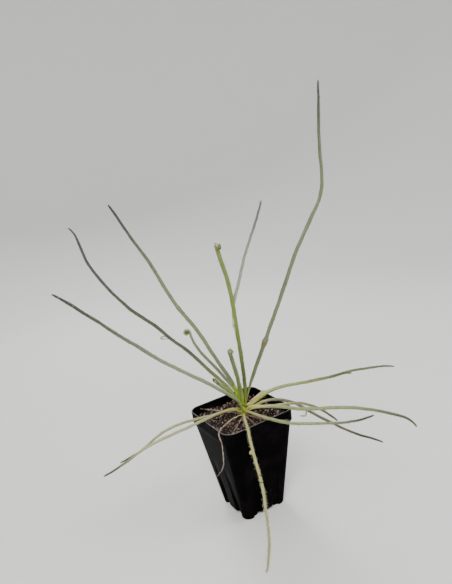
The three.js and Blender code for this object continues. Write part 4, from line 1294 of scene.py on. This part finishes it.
def buildBits(prefix, specs, material):
    base, faces = icosphere(1)
    for k, (name, distance, (left, near, up), size) in enumerate(specs):
        source = np.random.RandomState(80 + k)
        centre = placeOn(name, distance)["places"] + leftward * left + nearward * near + np.array([0, 0, up])
        uneven = base * source.uniform(0.8, 1.15, (len(base), 1))
        points = (centre + uneven * size * np.array([1, 1.1, 0.9])) * mm
        piece = meshObject("%s%d" % (prefix, k + 1), points, faces, [material])
        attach(piece, "root")


def buildCurls():
    base, faces = icosphere(2)
    small, smallFaces = icosphere(1)
    for k, (name, spec) in enumerate(curlSpecs.items()):
        line = leafLines[name]
        length = leafSpecs[name]["length"]
        rolled = line["distance"] >= length
        places = line["places"][rolled]
        middle = (places.max(0) + places.min(0)) / 2
        side = line["across"][-1]
        source = np.random.RandomState(120 + k)
        thick, reach = spec["heart"]
        bumpy = base * (1 + 0.06 * np.sin(base @ source.normal(size=(3, 3)) * 4).sum(1))[:, None]
        flat = np.outer(bumpy @ side, side)
        points = (middle + (bumpy - flat) * reach + flat * thick) * mm
        # painted shade: the heart is toned dark for the shaded inner turns, on centre_coiled partly the red
        # brown of its glands
        first, second = spec["tones"]
        material = makeGritMaterial(pieceName("heart_" + name), tone(*first), tone(*second), 0.5, 900, 0.0002)
        heart = meshObject(pieceName("heart_" + name), points, faces, [material])
        # painted highlight: white drops at the top of the roll stand in for light caught on the dew
        a, b, c = spec["shift"]
        capDistance = length + spec["cap"] * (line["distance"][-1] - length)
        centre = placeOn(name, capDistance)["places"] + leftward * a + nearward * b + np.array([0, 0, c])
        spots = centre + source.normal(size=(spec["drops"], 3)) * spec["spread"] * 0.45
        sizes = source.uniform(*spec["size"], spec["drops"])
        dropPoints, dropFaces = manyCopies(small, smallFaces, spots * mm, randomTurns(source, len(spots)),
                                           np.column_stack([sizes, sizes, sizes * 0.9]) * mm)
        drops = meshObject(pieceName("dewCap_" + name), dropPoints, dropFaces, [dewHighlightMaterial])
        for piece in (heart, drops):
            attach(piece, "root")


def buildDryBits():
    for name, spec in strandSpecs.items():
        start = placeOn(spec["leaf"], spec["distance"])["places"]
        points = [start + leftward * a + nearward * b + np.array([0, 0, c]) for a, b, c in spec["steps"]]
        buildStrand(name, points, spec["radius"], spec["look"])
    for spec in tornSpecs:
        source = np.random.RandomState(spec["seed"])
        for k in range(spec["count"]):
            turn = 2 * math.pi * (k + source.uniform(0, 0.6)) / spec["count"]
            first = spec["first"] + source.uniform(0, 3)
            last = spec["last"] + source.uniform(-2.5, 1.5)
            points = []
            for share in (0, 0.35, 0.7, 1):
                at = placeOn(spec["leaf"], first + (last - first) * share)
                out = at["across"] * math.cos(turn) + at["upper"] * math.sin(turn)
                lift = spec["lift"] * share ** 4 * source.uniform(0.1, 1)
                reach = spec["reach"] * (0.72 + 0.28 * share) + lift
                points.append(at["places"] + out * reach)
            radii = np.array([0.35, 0.6, 0.55, 0.2]) * source.uniform(0.7, 1.1)
            name = "torn%s%d" % (pieceName(spec["leaf"]).capitalize(), k + 1)
            buildStrand(name, points, radii, strawMaterial, 0.55, 6)
    buildBits("speck", speckSpecs, peatMaterial)
    buildBits("lump", lumpSpecs, strawMaterial)


buildCurls()
buildDryBits()
print("curls and dry bits built")

# Pale floor that curves up into a round wall, and soft lights
stageSpec = {"radius": 1.7, "fillet": 0.7, "wall": 2.4, "sides": 96, "filletSteps": 12}


def buildStage():
    profile = [(0.0, 0.0), (0.4, 0.0), (stageSpec["radius"] - stageSpec["fillet"], 0.0)]
    for k in range(1, stageSpec["filletSteps"] + 1):
        angle = 90 * degrees * k / stageSpec["filletSteps"]
        profile.append((stageSpec["radius"] - stageSpec["fillet"] * (1 - math.sin(angle)),
                        stageSpec["fillet"] * (1 - math.cos(angle))))
    profile.append((stageSpec["radius"], stageSpec["wall"]))
    sides = stageSpec["sides"]
    points, faces = [(0, 0, 0)], []
    for radius, z in profile[1:]:
        for i in range(sides):
            angle = 2 * math.pi * i / sides
            points.append((radius * math.cos(angle), radius * math.sin(angle), z))
    for i in range(sides):
        faces.append((0, 1 + i, 1 + (i + 1) % sides))
    for r in range(len(profile) - 2):
        for i in range(sides):
            a, b = 1 + r * sides + i, 1 + r * sides + (i + 1) % sides
            faces.append((a, a + sides, b + sides, b))
    material, tree, shader = startMaterial("paleFloor", 0.9)
    shader.inputs["Base Color"].default_value = tone(0.72, 0.72, 0.715)
    floor = meshObject("floor", points, faces, [material])


# Lights in metres and watts, each aimed at a height on the pot's axis
lightSpecs = {
    "key": {"place": (-0.55, -0.75, 1.15), "aim": 0.16, "size": 0.5, "power": 16, "colour": (1, 0.98, 0.95)},
    "fill": {"place": (0.95, -0.5, 0.7), "aim": 0.15, "size": 0.8, "power": 6, "colour": (1, 1, 1)},
    "back": {"place": (0.2, 1.0, 0.9), "aim": 0.2, "size": 0.5, "power": 9, "colour": (1, 1, 1)},
}
skyStrength = 0.75


def addLight(name, spec):
    data = bpy.data.lights.new(name, "AREA")
    data.shape = "DISK"
    data.size = spec["size"]
    data.energy = spec["power"]
    data.color = spec["colour"]
    light = bpy.data.objects.new(name, data)
    light.location = spec["place"]
    towards = Vector((0, 0, spec["aim"])) - Vector(spec["place"])
    light.rotation_euler = towards.to_track_quat("-Z", "Y").to_euler()
    bpy.context.scene.collection.objects.link(light)


buildStage()
for lightName, lightSpec in lightSpecs.items():
    addLight(lightName, lightSpec)
world = bpy.data.worlds.new("studio")
world.use_nodes = True
world.node_tree.nodes["Background"].inputs["Color"].default_value = (1, 1, 1, 1)
world.node_tree.nodes["Background"].inputs["Strength"].default_value = skyStrength
bpy.context.scene.world = world
print("stage lit")
